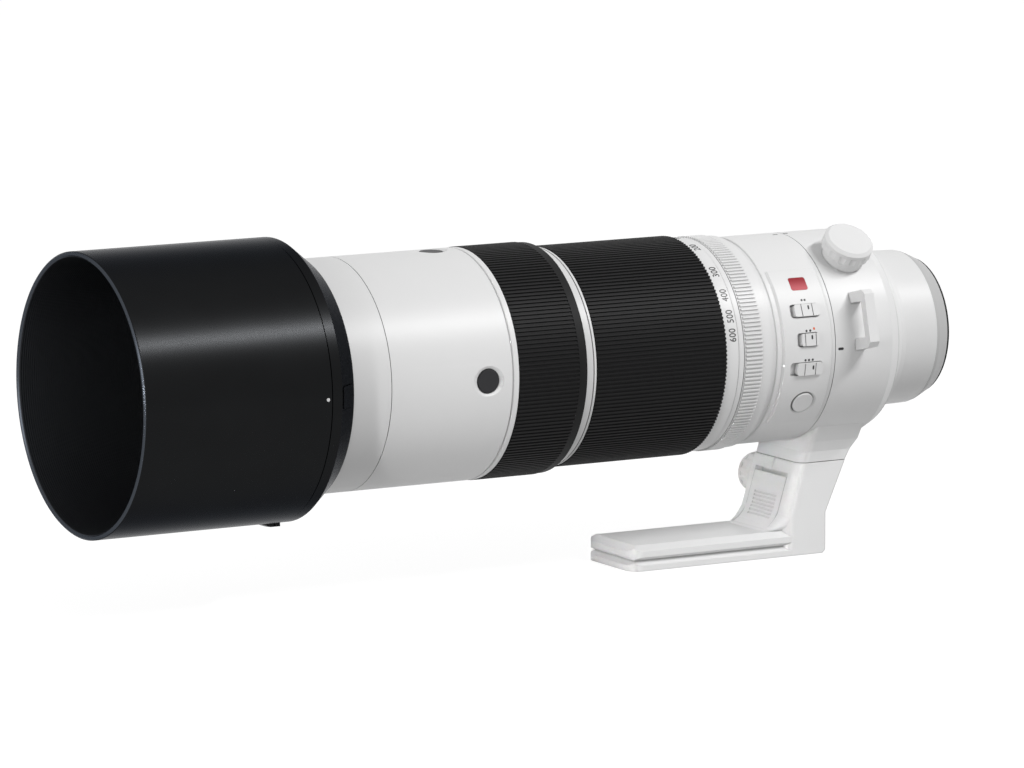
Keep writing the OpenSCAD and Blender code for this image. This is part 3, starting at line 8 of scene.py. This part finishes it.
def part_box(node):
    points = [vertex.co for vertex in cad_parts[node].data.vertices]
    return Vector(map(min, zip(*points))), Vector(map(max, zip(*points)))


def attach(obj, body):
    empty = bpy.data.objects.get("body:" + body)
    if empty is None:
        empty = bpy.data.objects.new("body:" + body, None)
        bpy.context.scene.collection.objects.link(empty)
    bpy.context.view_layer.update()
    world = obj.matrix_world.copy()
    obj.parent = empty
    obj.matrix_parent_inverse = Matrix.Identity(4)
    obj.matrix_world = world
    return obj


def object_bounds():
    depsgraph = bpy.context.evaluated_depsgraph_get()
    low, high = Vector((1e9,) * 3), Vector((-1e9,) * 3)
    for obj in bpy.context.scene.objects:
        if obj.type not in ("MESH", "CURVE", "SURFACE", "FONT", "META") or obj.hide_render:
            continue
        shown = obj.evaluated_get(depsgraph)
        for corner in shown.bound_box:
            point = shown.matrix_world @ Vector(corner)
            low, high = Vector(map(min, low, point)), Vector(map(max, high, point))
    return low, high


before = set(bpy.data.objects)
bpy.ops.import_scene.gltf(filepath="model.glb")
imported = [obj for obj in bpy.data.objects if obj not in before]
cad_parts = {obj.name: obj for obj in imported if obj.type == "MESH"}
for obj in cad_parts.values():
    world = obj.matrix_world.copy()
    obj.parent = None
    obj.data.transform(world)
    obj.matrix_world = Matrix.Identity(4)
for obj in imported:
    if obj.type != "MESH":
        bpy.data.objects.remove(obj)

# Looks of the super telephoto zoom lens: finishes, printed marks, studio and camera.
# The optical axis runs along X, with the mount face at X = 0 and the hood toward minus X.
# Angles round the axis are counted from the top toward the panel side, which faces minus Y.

cad_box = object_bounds()

MM = 0.001
INK_LIFT = 0.06 * MM
INK_SINK = 0.08 * MM

# Finish colours, linear
WHITE_PAINT = (0.80, 0.80, 0.80)
WHITE_PLASTIC = (0.79, 0.79, 0.79)
END_GREY = (0.50, 0.50, 0.50)
HOOD_BLACK = (0.0124, 0.0128, 0.0134)
HOOD_INSIDE = (0.046, 0.049, 0.054)
HOOD_EDGE_TINT = (0.500, 0.506, 0.518)
# Painted highlight: the hood's front rim, paler and bluish as if its edge caught the light
RIM_HIGHLIGHT_BLUE = (0.050, 0.056, 0.066)
BUTTON_BLACK = (0.016, 0.016, 0.018)
RUBBER_BLACK = (0.0045, 0.0045, 0.0048)
INNER_BLACK = (0.010, 0.010, 0.011)
INK_BLACK = (0.010, 0.010, 0.012)
INK_GREY = (0.16, 0.16, 0.16)
INK_WHITE = (0.75, 0.75, 0.75)
INK_ORANGE = (0.80, 0.16, 0.06)
BADGE_RED = (0.30, 0.006, 0.016)
BADGE_PINK = (0.60, 0.13, 0.15)
STEEL = (0.62, 0.62, 0.63)
DARK_STEEL = (0.10, 0.10, 0.11)
GOLD = (0.83, 0.60, 0.26)
COATED_GLASS = (0.93, 0.97, 0.98)
CLEAR_GLASS = (0.96, 0.99, 0.98)

# Sockets of the Mix node
MIX_FACTOR = 0
MIX_FLOAT_LOW = 2
MIX_FLOAT_HIGH = 3
MIX_COLOUR_LOW = 6
MIX_COLOUR_HIGH = 7
MIX_COLOUR_OUT = 2


# Node tree helpers


def shader_of(name):
    """A new material with its node tree, its links and its main shader."""
    material = bpy.data.materials.new(name)
    material.use_nodes = True
    tree = material.node_tree
    return material, tree, tree.nodes["Principled BSDF"]


def add(tree, kind, **values):
    """A node of a kind, with its settings or its inputs set by name."""
    node = tree.nodes.new(kind)
    for key, value in values.items():
        if key in node.inputs:
            node.inputs[key].default_value = value
        else:
            setattr(node, key, value)
    return node


def place_on_object(tree):
    return add(tree, "ShaderNodeTexCoord").outputs["Object"]


def noise(tree, place, scale, detail=2.0):
    node = add(tree, "ShaderNodeTexNoise", Scale=scale, Detail=detail)
    tree.links.new(place, node.inputs["Vector"])
    return node.outputs["Fac"]


def math_node(tree, operation, first, second=None, clamp=False):
    node = add(tree, "ShaderNodeMath", operation=operation, use_clamp=clamp)
    for index, value in enumerate((first, second)):
        if value is None:
            continue
        if isinstance(value, (int, float)):
            node.inputs[index].default_value = value
        else:
            tree.links.new(value, node.inputs[index])
    return node.outputs[0]


def between(tree, value, low, high):
    """A factor turned into a value between two limits."""
    node = add(tree, "ShaderNodeMapRange")
    node.inputs["To Min"].default_value = low
    node.inputs["To Max"].default_value = high
    tree.links.new(value, node.inputs["Value"])
    return node.outputs["Result"]


def tint(tree, factor, low, high):
    """A colour between two colours, by a factor."""
    node = add(tree, "ShaderNodeMix", data_type="RGBA")
    node.inputs[MIX_COLOUR_LOW].default_value = (*low, 1)
    node.inputs[MIX_COLOUR_HIGH].default_value = (*high, 1)
    tree.links.new(factor, node.inputs[MIX_FACTOR])
    return node.outputs[MIX_COLOUR_OUT]


def bump(tree, shader, height, depth, strength=1.0, below=None):
    node = add(tree, "ShaderNodeBump", Strength=strength, Distance=depth)
    tree.links.new(height, node.inputs["Height"])
    if below is not None:
        tree.links.new(below, node.inputs["Normal"])
    tree.links.new(node.outputs["Normal"], shader.inputs["Normal"])
    return node.outputs["Normal"]


def soft_edges(tree, radius):
    """A normal that rounds sharp edges over a small radius."""
    node = add(tree, "ShaderNodeBevel", samples=4)
    node.inputs["Radius"].default_value = radius
    return node.outputs["Normal"]


def scaled(colour, share):
    return tuple(channel * share for channel in colour)


def radius_on_axis(tree, place):
    """The distance from the optical axis, and the station along it."""
    parts = add(tree, "ShaderNodeSeparateXYZ")
    tree.links.new(place, parts.inputs[0])
    y_square = math_node(tree, "MULTIPLY", parts.outputs["Y"], parts.outputs["Y"])
    z_square = math_node(tree, "MULTIPLY", parts.outputs["Z"], parts.outputs["Z"])
    radius = math_node(tree, "SQRT", math_node(tree, "ADD", y_square, z_square))
    return radius, parts.outputs["X"]


def choose(tree, factor, low, high):
    """One of two values, or a blend of them, by a factor."""
    node = add(tree, "ShaderNodeMix", data_type="FLOAT")
    for socket, value in ((MIX_FACTOR, factor), (MIX_FLOAT_LOW, low), (MIX_FLOAT_HIGH, high)):
        if isinstance(value, float):
            node.inputs[socket].default_value = value
        else:
            tree.links.new(value, node.inputs[socket])
    return node.outputs[0]


def recolour(tree, factor, colour_link, colour):
    """A colour link that gives way to a plain colour, by a factor."""
    node = add(tree, "ShaderNodeMix", data_type="RGBA")
    tree.links.new(factor, node.inputs[MIX_FACTOR])
    tree.links.new(colour_link, node.inputs[MIX_COLOUR_LOW])
    node.inputs[MIX_COLOUR_HIGH].default_value = (*colour, 1)
    return node.outputs[MIX_COLOUR_OUT]


# Materials

# Painted shade: the enamel's colour darkens toward CREVICE_SHADE of itself in grooves, gaps and corners
# within CREVICE_DEPTH
CREVICE_DEPTH = 0.9 * MM
CREVICE_SHADE = 0.38


def painted_shade_openness(tree):
    """One in the open, falling toward zero in grooves, gaps and corners, where it darkens the colour as
    painted shade.
    """
    node = add(tree, "ShaderNodeAmbientOcclusion", samples=6)
    node.inputs["Distance"].default_value = CREVICE_DEPTH
    return node.outputs["AO"]


def painted(name, colour, roughness, grain=1400, depth=0.012 * MM, edge=0.18 * MM):
    """Fine-grained enamel, with a little unevenness in colour and gloss, and painted shade in its grooves,
    gaps and corners.
    """
    material, tree, shader = shader_of(name)
    place = place_on_object(tree)
    cloud = noise(tree, place, scale=45)
    speckle = noise(tree, place, grain, detail=3)
    tone = tint(tree, cloud, scaled(colour, 0.97), colour)
    # painted shade: the colour darkens in grooves, gaps and corners
    painted_shade = math_node(tree, "SUBTRACT", 1.0, painted_shade_openness(tree), clamp=True)
    tone = recolour(tree, painted_shade, tone, scaled(colour, CREVICE_SHADE))
    tree.links.new(tone, shader.inputs["Base Color"])
    gloss = between(tree, speckle, roughness - 0.05, roughness + 0.05)
    tree.links.new(gloss, shader.inputs["Roughness"])
    shader.inputs["Specular IOR Level"].default_value = 0.45
    bump(tree, shader, speckle, depth, strength=0.5, below=soft_edges(tree, edge))
    return material


# How far the hood's seam is sunk, in depths of its grooves
SEAM_DROP = 1.5


def hood_finish(name, inside_r, rim_x, groove_pitch, seam_x, seam_half_w=0.2 * MM):
    """Black anodised: satin outside, matt with fine baffle grooves inside, a paler bluish rim that is a
    painted highlight, and a seam line.
    """
    material, tree, shader = shader_of(name)
    place = place_on_object(tree)
    radius, station = radius_on_axis(tree, place)
    rim_highlight = math_node(tree, "LESS_THAN", station, rim_x)
    inside = math_node(tree, "LESS_THAN", radius, inside_r)
    inside = math_node(tree, "MULTIPLY", inside, math_node(tree, "LESS_THAN", station, seam_x))
    inside = math_node(tree, "SUBTRACT", inside, math_node(tree, "MULTIPLY", inside, rim_highlight))
    outside = math_node(tree, "SUBTRACT", 1.0, inside)
    cloud = noise(tree, place, scale=60)
    speckle = noise(tree, place, scale=1600, detail=3)
    from_seam = math_node(tree, "ABSOLUTE", math_node(tree, "SUBTRACT", station, seam_x))
    seam = math_node(tree, "LESS_THAN", from_seam, seam_half_w)
    seam = math_node(tree, "MULTIPLY", seam, outside)
    tone = tint(tree, cloud, scaled(HOOD_BLACK, 0.85), HOOD_BLACK)
    tone = recolour(tree, inside, tone, HOOD_INSIDE)
    tone = recolour(tree, seam, tone, (0, 0, 0))
    # painted highlight: the front rim is coloured paler and bluish, as if its edge caught the light
    tone = recolour(tree, rim_highlight, tone, RIM_HIGHLIGHT_BLUE)
    tree.links.new(tone, shader.inputs["Base Color"])
    gloss = between(tree, speckle, low=0.24, high=0.30)
    matt = between(tree, speckle, low=0.45, high=0.55)
    tree.links.new(choose(tree, inside, gloss, matt), shader.inputs["Roughness"])
    shader.inputs["Metallic"].default_value = 1.0
    shader.inputs["Specular Tint"].default_value = (*HOOD_EDGE_TINT, 1)
    wave = math_node(tree, "SINE", math_node(tree, "MULTIPLY", station, 2 * math.pi / groove_pitch))
    grooves = math_node(tree, "MULTIPLY", wave, inside)
    sunk = math_node(tree, "SUBTRACT", grooves, math_node(tree, "MULTIPLY", seam, SEAM_DROP))
    shaped = bump(tree, shader, sunk, depth=0.035 * MM, below=soft_edges(tree, 0.25 * MM))
    bump(tree, shader, speckle, depth=0.005 * MM, strength=0.4, below=shaped)
    return material


def rubber_finish(name):
    material, tree, shader = shader_of(name)
    place = place_on_object(tree)
    cloud = noise(tree, place, scale=90)
    pores = noise(tree, place, scale=2200, detail=4)
    tone = tint(tree, cloud, scaled(RUBBER_BLACK, 0.8), scaled(RUBBER_BLACK, 1.15))
    tree.links.new(tone, shader.inputs["Base Color"])
    gloss = between(tree, pores, low=0.48, high=0.62)
    tree.links.new(gloss, shader.inputs["Roughness"])
    shader.inputs["Specular IOR Level"].default_value = 0.17
    bump(tree, shader, pores, depth=0.02 * MM, strength=0.6, below=soft_edges(tree, 0.12 * MM))
    return material


def plastic(name, colour, roughness, level=0.5, grain=1800):
    material, tree, shader = shader_of(name)
    place = place_on_object(tree)
    cloud = noise(tree, place, scale=80)
    speckle = noise(tree, place, grain, detail=3)
    tone = tint(tree, cloud, scaled(colour, 0.94), colour)
    tree.links.new(tone, shader.inputs["Base Color"])
    gloss = between(tree, speckle, roughness - 0.06, roughness + 0.06)
    tree.links.new(gloss, shader.inputs["Roughness"])
    shader.inputs["Specular IOR Level"].default_value = level
    bump(tree, shader, speckle, depth=0.010 * MM, strength=0.5, below=soft_edges(tree, 0.15 * MM))
    return material


def turned_metal(name, colour, roughness, line_scale=5200):
    """Metal turned on a lathe, with fine lines round the axis."""
    material, tree, shader = shader_of(name)
    place = place_on_object(tree)
    radius, station = radius_on_axis(tree, place)
    lines_at = add(tree, "ShaderNodeCombineXYZ")
    tree.links.new(radius, lines_at.inputs[0])
    tree.links.new(station, lines_at.inputs[1])
    lines = noise(tree, lines_at.outputs[0], line_scale, detail=3)
    cloud = noise(tree, place, scale=120)
    tone = tint(tree, cloud, scaled(colour, 0.92), colour)
    tree.links.new(tone, shader.inputs["Base Color"])
    gloss = between(tree, lines, roughness - 0.05, roughness + 0.08)
    tree.links.new(gloss, shader.inputs["Roughness"])
    shader.inputs["Metallic"].default_value = 1.0
    bump(tree, shader, lines, depth=0.006 * MM, strength=0.5, below=soft_edges(tree, 0.12 * MM))
    return material


def lens_glass(name, film):
    """Optical glass with a thin coating, film nanometres thick, and a very faint haze of dust."""
    material, tree, shader = shader_of(name)
    place = place_on_object(tree)
    dust = noise(tree, place, scale=900, detail=4)
    haze = between(tree, dust, low=0.0, high=0.03)
    tree.links.new(haze, shader.inputs["Roughness"])
    tone = tint(tree, noise(tree, place, scale=25), COATED_GLASS, CLEAR_GLASS)
    tree.links.new(tone, shader.inputs["Base Color"])
    shader.inputs["Transmission Weight"].default_value = 1.0
    shader.inputs["IOR"].default_value = 1.45
    shader.inputs["Thin Film Thickness"].default_value = film
    shader.inputs["Thin Film IOR"].default_value = 1.38
    return material


# How far over the block's face the gold begins
PIN_MARGIN = 0.02 * MM


def contact_finish(name, face_x):
    """Matt black moulding, with gold on the pins that stand over its face."""
    material, tree, shader = shader_of(name)
    place = place_on_object(tree)
    station = radius_on_axis(tree, place)[1]
    pin = math_node(tree, "GREATER_THAN", station, face_x + PIN_MARGIN)
    speckle = noise(tree, place, scale=1800, detail=3)
    moulding = tint(tree, speckle, scaled(INNER_BLACK, 0.8), INNER_BLACK)
    tree.links.new(recolour(tree, pin, moulding, GOLD), shader.inputs["Base Color"])
    tree.links.new(choose(tree, pin, 0.0, 1.0), shader.inputs["Metallic"])
    matt = between(tree, speckle, low=0.5, high=0.6)
    tree.links.new(choose(tree, pin, matt, 0.25), shader.inputs["Roughness"])
    bump(tree, shader, speckle, depth=0.006 * MM, strength=0.4, below=soft_edges(tree, 0.1 * MM))
    return material


def ink(name, colour):
    material, tree, shader = shader_of(name)
    place = place_on_object(tree)
    grain = noise(tree, place, scale=4000)
    tone = tint(tree, grain, scaled(colour, 0.85), colour)
    tree.links.new(tone, shader.inputs["Base Color"])
    gloss = between(tree, grain, low=0.35, high=0.5)
    tree.links.new(gloss, shader.inputs["Roughness"])
    return material


def badge_finish(name, low, high):
    """Red enamel that pales toward the lower edge of the plate, between two heights."""
    material, tree, shader = shader_of(name)
    place = place_on_object(tree)
    parts = add(tree, "ShaderNodeSeparateXYZ")
    tree.links.new(place, parts.inputs[0])
    node = add(tree, "ShaderNodeMapRange", interpolation_type="SMOOTHSTEP")
    node.inputs["From Min"].default_value = low
    node.inputs["From Max"].default_value = high
    tree.links.new(parts.outputs["Z"], node.inputs["Value"])
    tone = tint(tree, node.outputs["Result"], BADGE_PINK, BADGE_RED)
    tree.links.new(tone, shader.inputs["Base Color"])
    speckle = noise(tree, place, scale=3000)
    gloss = between(tree, speckle, low=0.22, high=0.3)
    tree.links.new(gloss, shader.inputs["Roughness"])
    shader.inputs["Specular IOR Level"].default_value = 0.12
    bump(tree, shader, speckle, depth=0.004 * MM, strength=0.4, below=soft_edges(tree, 0.2 * MM))
    return material


# Stations and radii that the marks sit on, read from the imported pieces

HOOD_WALL = 2.3 * MM
RIM_DEPTH = 0.55 * MM
GROOVE_PITCH = 1.0 * MM
SEAM_TO_REAR = 14.2 * MM
COLLAR_LIP = 1.3 * MM
PANEL_RISE = 0.8 * MM
SWITCH_RISE = 1.0 * MM
PIN_RISE = 0.45 * MM

hood_low, hood_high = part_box("hood_shell")
hood_r = hood_high.z
hood_seam = hood_high.x - SEAM_TO_REAR
number_band_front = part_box("zoom_ring_grip")[1].x
band_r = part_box("zoom_ring_sleeve")[1].z
barrel_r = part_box("main_barrel")[1].z
collar_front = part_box("collar_ring")[0].x + COLLAR_LIP
panel_r = barrel_r + PANEL_RISE
switch_top_r = panel_r + SWITCH_RISE
contact_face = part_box("mount_contacts")[1].x - PIN_RISE


# Shapes laid on a cylinder round the optical axis


def on_barrel(station, angle, radius):
    turn = math.radians(angle)
    return Vector((station, -radius * math.sin(turn), radius * math.cos(turn)))


def finish_piece(name, mesh, material, body):
    piece = bpy.data.objects.new(name, mesh)
    bpy.context.scene.collection.objects.link(piece)
    mesh.materials.clear()
    mesh.materials.append(material)
    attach(piece, body)
    return piece


def wrapped(mesh, station, angle, radius):
    """Lays a flat mesh on a cylinder: its x runs rearward, its y runs up the panel side, its z outward."""
    for vertex in mesh.vertices:
        turn = angle - math.degrees(vertex.co.y / radius)
        vertex.co = on_barrel(station + vertex.co.x, turn, radius + vertex.co.z)
    mesh.update()
    return mesh


def flat_shape(name, outlines):
    """A thin flat mesh from outlines in the plane, from just under the surface to just over it."""
    shape = bmesh.new()
    for outline in outlines:
        low = [shape.verts.new((x, y, -INK_SINK)) for x, y in outline]
        high = [shape.verts.new((x, y, INK_LIFT)) for x, y in outline]
        shape.faces.new(high)
        shape.faces.new(low[::-1])
        count = len(outline)
        for i in range(count):
            j = (i + 1) % count
            shape.faces.new((low[i], low[j], high[j], high[i]))
    mesh = bpy.data.meshes.new(name)
    shape.to_mesh(mesh)
    shape.free()
    return mesh


def round_outline(radius, count=20):
    turns = [2 * math.pi * i / count for i in range(count)]
    return [(radius * math.cos(turn), radius * math.sin(turn)) for turn in turns]


def bar_outline(length, width, corner_share=0.3):
    """A bar with cut corners: its length runs along x."""
    a, b = length / 2, width / 2
    c = corner_share * min(length, width)
    corners = [(a, b - c), (a - c, b), (c - a, b), (-a, b - c)]
    return corners + [(-x, -y) for x, y in corners]


def laid_flat(mesh, station, angle, radius, across=0.0):
    """Lays a flat mesh on a plane that touches the cylinder: across moves it round the barrel."""
    out = on_barrel(0.0, angle, 1.0)
    up = on_barrel(0.0, angle - 90, 1.0)
    for vertex in mesh.vertices:
        flat = vertex.co.copy()
        vertex.co = Vector((station + flat.x, 0, 0)) + up * (flat.y - across) + out * (radius + flat.z)
    mesh.update()
    return mesh


# Figures: their height as a share of the type size, their spacing, and how narrow they are
CAP_SHARE = 0.72
FIGURE_SPACING = 1.04
FIGURE_NARROW = 0.84


def number_mesh(name, text, height):
    """Plain figures as a thin mesh: they read upward on the panel side, with their tops toward the front."""
    curve = bpy.data.curves.new(name, "FONT")
    curve.body = text
    curve.align_x = "CENTER"
    curve.align_y = "CENTER"
    curve.size = height / CAP_SHARE
    curve.space_character = FIGURE_SPACING
    curve.extrude = (INK_LIFT + INK_SINK) / 2
    curve.resolution_u = 6
    holder = bpy.data.objects.new(name, curve)
    bpy.context.scene.collection.objects.link(holder)
    graph = bpy.context.evaluated_depsgraph_get()
    mesh = bpy.data.meshes.new_from_object(holder.evaluated_get(graph))
    bpy.data.objects.remove(holder)
    mesh.name = name
    middle = (INK_LIFT - INK_SINK) / 2
    mesh.transform(Matrix(((0, -1, 0, 0), (FIGURE_NARROW, 0, 0, 0), (0, 0, 1, middle), (0, 0, 0, 1))))
    return mesh


# The finishes

white_alloy = painted("white_enamel", WHITE_PAINT, roughness=0.40)
white_moulded = painted("white_moulded", WHITE_PLASTIC, roughness=0.42, grain=1700, depth=0.008 * MM,
    edge=0.12 * MM)
grey_alloy = painted("end_ring_grey", END_GREY, roughness=0.42)
hood_black = hood_finish("hood_satin", hood_r - HOOD_WALL / 2, hood_low.x + RIM_DEPTH, GROOVE_PITCH,
    hood_seam)
button_black = plastic("button_black", BUTTON_BLACK, roughness=0.5, level=0.3)
inner_black = plastic("inner_black", INNER_BLACK, roughness=0.6, level=0.3)
grip_rubber = rubber_finish("ribbed_rubber")
steel = turned_metal("turned_steel", STEEL, roughness=0.26)
dark_steel = turned_metal("blued_steel", DARK_STEEL, roughness=0.35)
gold = turned_metal("contact_gold", GOLD, roughness=0.22)
front_coating = lens_glass("front_coating", film=420)
inner_coating = lens_glass("inner_coating", film=330)
contact_black = contact_finish("contact_block", contact_face)
badge_low, badge_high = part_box("badge_plate")
badge_red = badge_finish("badge_red", badge_low.z, badge_high.z)
ink_black = ink("ink_black", INK_BLACK)
ink_grey = ink("ink_grey", INK_GREY)
ink_white = ink("ink_white", INK_WHITE)
ink_orange = ink("ink_orange", INK_ORANGE)

FINISHES = {
    "hood_shell": hood_black,
    "hood_release_button": hood_black,
    "hood_window": hood_black,
    "front_ring": white_moulded,
    "front_cell": inner_black,
    "front_glass": front_coating,
    "front_barrel": white_alloy,
    "focus_ring_sleeve": inner_black,
    "focus_ring_grip": grip_rubber,
    "divider_ring": white_alloy,
    "zoom_ring_sleeve": white_alloy,
    "zoom_ring_grip": grip_rubber,
    "index_ring": white_alloy,
    "aperture_ring": white_alloy,
    "guide_tube": inner_black,
    "cam_tube": inner_black,
    "variator_cell": inner_black,
    "variator_glass": inner_coating,
    "compensator_cell": inner_black,
    "compensator_glass": inner_coating,
    "iris_housing": inner_black,
    "iris_cover": inner_black,
    "iris_ring": gold,
    "main_barrel": white_alloy,
    "switch_panel": white_moulded,
    "badge_plate": badge_red,
    "range_switch": white_moulded,
    "aperture_switch": white_moulded,
    "preset_switch": white_moulded,
    "set_button": white_moulded,
    "focus_rods": steel,
    "focus_cell": inner_black,
    "focus_glass": inner_coating,
    "stabiliser_base": dark_steel,
    "stabiliser_frame": inner_black,
    "stabiliser_cell": inner_black,
    "collar_ring": white_alloy,
    "collar_lock_knob": white_alloy,
    "tripod_foot": white_alloy,
    "foot_clamp_knob": white_alloy,
    "foot_release_lever": white_alloy,
    "rear_barrel": white_alloy,
    "rear_ring": grey_alloy,
    "mount_gasket": grip_rubber,
    "bayonet_mount": steel,
    "mount_screws": steel,
    "mount_contacts": contact_black,
    "rear_cell": inner_black,
    "rear_glass": inner_coating,
}
for side in ("top", "near", "bottom", "far"):
    FINISHES[f"focus_button_{side}"] = button_black
for number in range(1, 8):
    FINISHES[f"iris_blade_{number}"] = dark_steel

for node_name, finish in FINISHES.items():
    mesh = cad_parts[node_name].data
    mesh.materials.clear()
    mesh.materials.append(finish)


# Printed marks


def printed(name, outlines, station, angle, radius, material, body):
    mesh = wrapped(flat_shape(name, outlines), station, angle, radius)
    return finish_piece(name, mesh, material, body)


# Zoom scale: focal lengths and the angles at which they stand
SCALE = {"150": -2.2, "200": 17.8, "300": 40.3, "400": 55.4, "500": 67.5, "600": 77.6}
FIGURE_HEIGHT = 3.3 * MM
SCALE_SETBACK = 4.1 * MM
scale_station = number_band_front + SCALE_SETBACK
for text, angle in SCALE.items():
    label = f"scale_{text}"
    mesh = wrapped(number_mesh(label, text, FIGURE_HEIGHT), scale_station, angle, band_r)
    finish_piece(label, mesh, ink_black, "zoom_ring")

# Hood: white index dot
printed("hood_index_dot", [round_outline(0.75 * MM)], hood_seam - 2.0 * MM, 90, hood_r, ink_white,
    "hood")

# Collar and barrel: the dashes that show how far the collar is turned
DASH = [bar_outline(2.7 * MM, 1.1 * MM)]
SHORT_DASH = [bar_outline(2.4 * MM, 1.0 * MM)]
printed("collar_dash", DASH, collar_front + 2.9 * MM, 90, barrel_r, ink_black, "collar")
printed("collar_top_dash", SHORT_DASH, collar_front + 1.7 * MM, 2, barrel_r, ink_black, "collar")
printed("barrel_top_dash", SHORT_DASH, collar_front - 4.0 * MM, 3, barrel_r, ink_grey, "barrel")

# Switches: a tick on each finger piece, and a dot on the panel for each of its places.
# The tick's angle, its shift rearward and upward, the dots' angle, and the dots' stations from the
# collar's front, in degrees and millimetres
SWITCHES = {
    "range_switch": (67.6, 0.8, -1.1, 61.7, (-14.34, -12.85)),
    "aperture_switch": (83.4, 0.7, -1.0, 78.65, (-14.64, -12.75)),
    "preset_switch": (99.2, 1.4, -0.7, 94.4, (-15.48, -13.75, -11.88)),
}
TICK = [bar_outline(0.75 * MM, 1.8 * MM)]
DOT_R = 0.5 * MM
for body, (angle, along, up, dot_angle, dot_stations) in SWITCHES.items():
    low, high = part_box(body)
    station = (low.x + high.x) / 2 + along * MM
    mesh = laid_flat(flat_shape(f"{body}_tick", TICK), station, angle, switch_top_r, up * MM)
    finish_piece(f"{body}_tick", mesh, ink_black, body)
    for number, dot_station in enumerate(dot_stations, 1):
        printed(f"{body}_dot_{number}", [round_outline(DOT_R)], collar_front + dot_station * MM,
            dot_angle, panel_r, ink_black, "barrel")

# The one coloured mark, beside the dots of the aperture switch
printed("panel_orange_mark", [bar_outline(0.9 * MM, 1.1 * MM)], collar_front - 10.74 * MM, 77.7, panel_r,
    ink_orange, "barrel")


# Camera and light

CAMERA_PLACE = Vector((-1671.14, -2547.57, 444.13)) * MM
CAMERA_PITCH = -8.794
CAMERA_YAW = -29.958
CAMERA_LENS = 245.65

camera_data = bpy.data.cameras.new("camera")
camera_data.lens = CAMERA_LENS
camera_data.sensor_width = 36
camera_data.clip_start = 0.1
camera_data.clip_end = 100
camera = bpy.data.objects.new("camera", camera_data)
camera.location = CAMERA_PLACE
camera.rotation_euler = (math.radians(90 + CAMERA_PITCH), 0, math.radians(CAMERA_YAW))
bpy.context.scene.collection.objects.link(camera)
bpy.context.scene.camera = camera

middle = (cad_box[0] + cad_box[1]) / 2


OPEN_SPREAD = 180


def softbox(name, toward, distance, width, height, level, target=middle, spread=OPEN_SPREAD):
    """An area lamp that faces a point, as bright there as its level says, whatever its spread in degrees."""
    lamp = bpy.data.lights.new(name, "AREA")
    lamp.shape = "RECTANGLE"
    lamp.size = width
    lamp.size_y = height
    half = math.radians(spread / 2)
    gathered = 1 if spread == OPEN_SPREAD else math.tan(half) / (math.tan(half) - half)
    lamp.energy = level * math.pi**2 * distance**2 / gathered
    lamp.spread = math.radians(spread)
    holder = bpy.data.objects.new(name, lamp)
    holder.location = target + Vector(toward).normalized() * distance
    holder.rotation_euler = (target - holder.location).to_track_quat("-Z", "Y").to_euler()
    bpy.context.scene.collection.objects.link(holder)


foot_low, foot_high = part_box("tripod_foot")
foot_middle = (foot_low + foot_high) / 2
softbox("strip_key", (0.45, -0.57, 0.69), distance=1.25, width=0.72, height=0.04, level=0.58)
softbox("front_fill", (-1.0, -0.14, 0.10), distance=1.6, width=1.2, height=1.2, level=0.60)
softbox("foot_fill", (-0.9, -0.40, 0.10), distance=1.2, width=0.08, height=0.08, level=0.72,
    target=foot_middle, spread=9)


def backdrop_share(tree):
    """One where a ray comes from the camera, a mirror or glass, and otherwise zero."""
    path = add(tree, "ShaderNodeLightPath")
    seen = math_node(tree, "MAXIMUM", path.outputs["Is Camera Ray"], path.outputs["Is Glossy Ray"])
    return math_node(tree, "MAXIMUM", seen, path.outputs["Is Transmission Ray"])


AMBIENT_LEVEL = 0.37

world = bpy.data.worlds.new("studio")
world.use_nodes = True
bpy.context.scene.world = world
world_tree = world.node_tree
world_light = world_tree.nodes["Background"]
world_share = backdrop_share(world_tree)
world_level = add(world_tree, "ShaderNodeMix", data_type="FLOAT")
world_tree.links.new(world_share, world_level.inputs[MIX_FACTOR])
world_level.inputs[MIX_FLOAT_LOW].default_value = AMBIENT_LEVEL
world_level.inputs[MIX_FLOAT_HIGH].default_value = 1.0
world_light.inputs["Color"].default_value = (1, 1, 1, 1)
world_tree.links.new(world_level.outputs[0], world_light.inputs["Strength"])

FLOOR_GREY = (0.42, 0.42, 0.42)
SHADOW_SHARE = 0.2


def floor_finish():
    """A pale floor that shows white to the camera and keeps a soft shadow."""
    material, tree, shader = shader_of("studio_floor")
    shader.inputs["Base Color"].default_value = (*FLOOR_GREY, 1)
    shader.inputs["Roughness"].default_value = 0.9
    shader.inputs["Specular IOR Level"].default_value = 0.0
    plain = add(tree, "ShaderNodeBsdfDiffuse")
    plain.inputs["Color"].default_value = (1, 1, 1, 1)
    glow = add(tree, "ShaderNodeEmission", Strength=(1 - SHADOW_SHARE * AMBIENT_LEVEL) / (1 - SHADOW_SHARE))
    shown = add(tree, "ShaderNodeMixShader", Fac=SHADOW_SHARE)
    tree.links.new(glow.outputs[0], shown.inputs[1])
    tree.links.new(plain.outputs[0], shown.inputs[2])
    both = add(tree, "ShaderNodeMixShader")
    tree.links.new(backdrop_share(tree), both.inputs[0])
    tree.links.new(shader.outputs[0], both.inputs[1])
    tree.links.new(shown.outputs[0], both.inputs[2])
    tree.links.new(both.outputs[0], tree.nodes["Material Output"].inputs["Surface"])
    return material


FLOOR_HALF = 30.0
FLOOR_GAP = 0.2 * MM
FLOOR_SIGNS = ((-1, -1), (1, -1), (1, 1), (-1, 1))
floor_z = cad_box[0].z - FLOOR_GAP
floor_corners = [(x * FLOOR_HALF, y * FLOOR_HALF, floor_z) for x, y in FLOOR_SIGNS]
floor_mesh = bpy.data.meshes.new("floor")
floor_mesh.from_pydata(floor_corners, [], [(0, 1, 2, 3)])
floor_mesh.materials.append(floor_finish())
floor = bpy.data.objects.new("floor", floor_mesh)
bpy.context.scene.collection.objects.link(floor)

bpy.context.scene.view_settings.view_transform = "Standard"
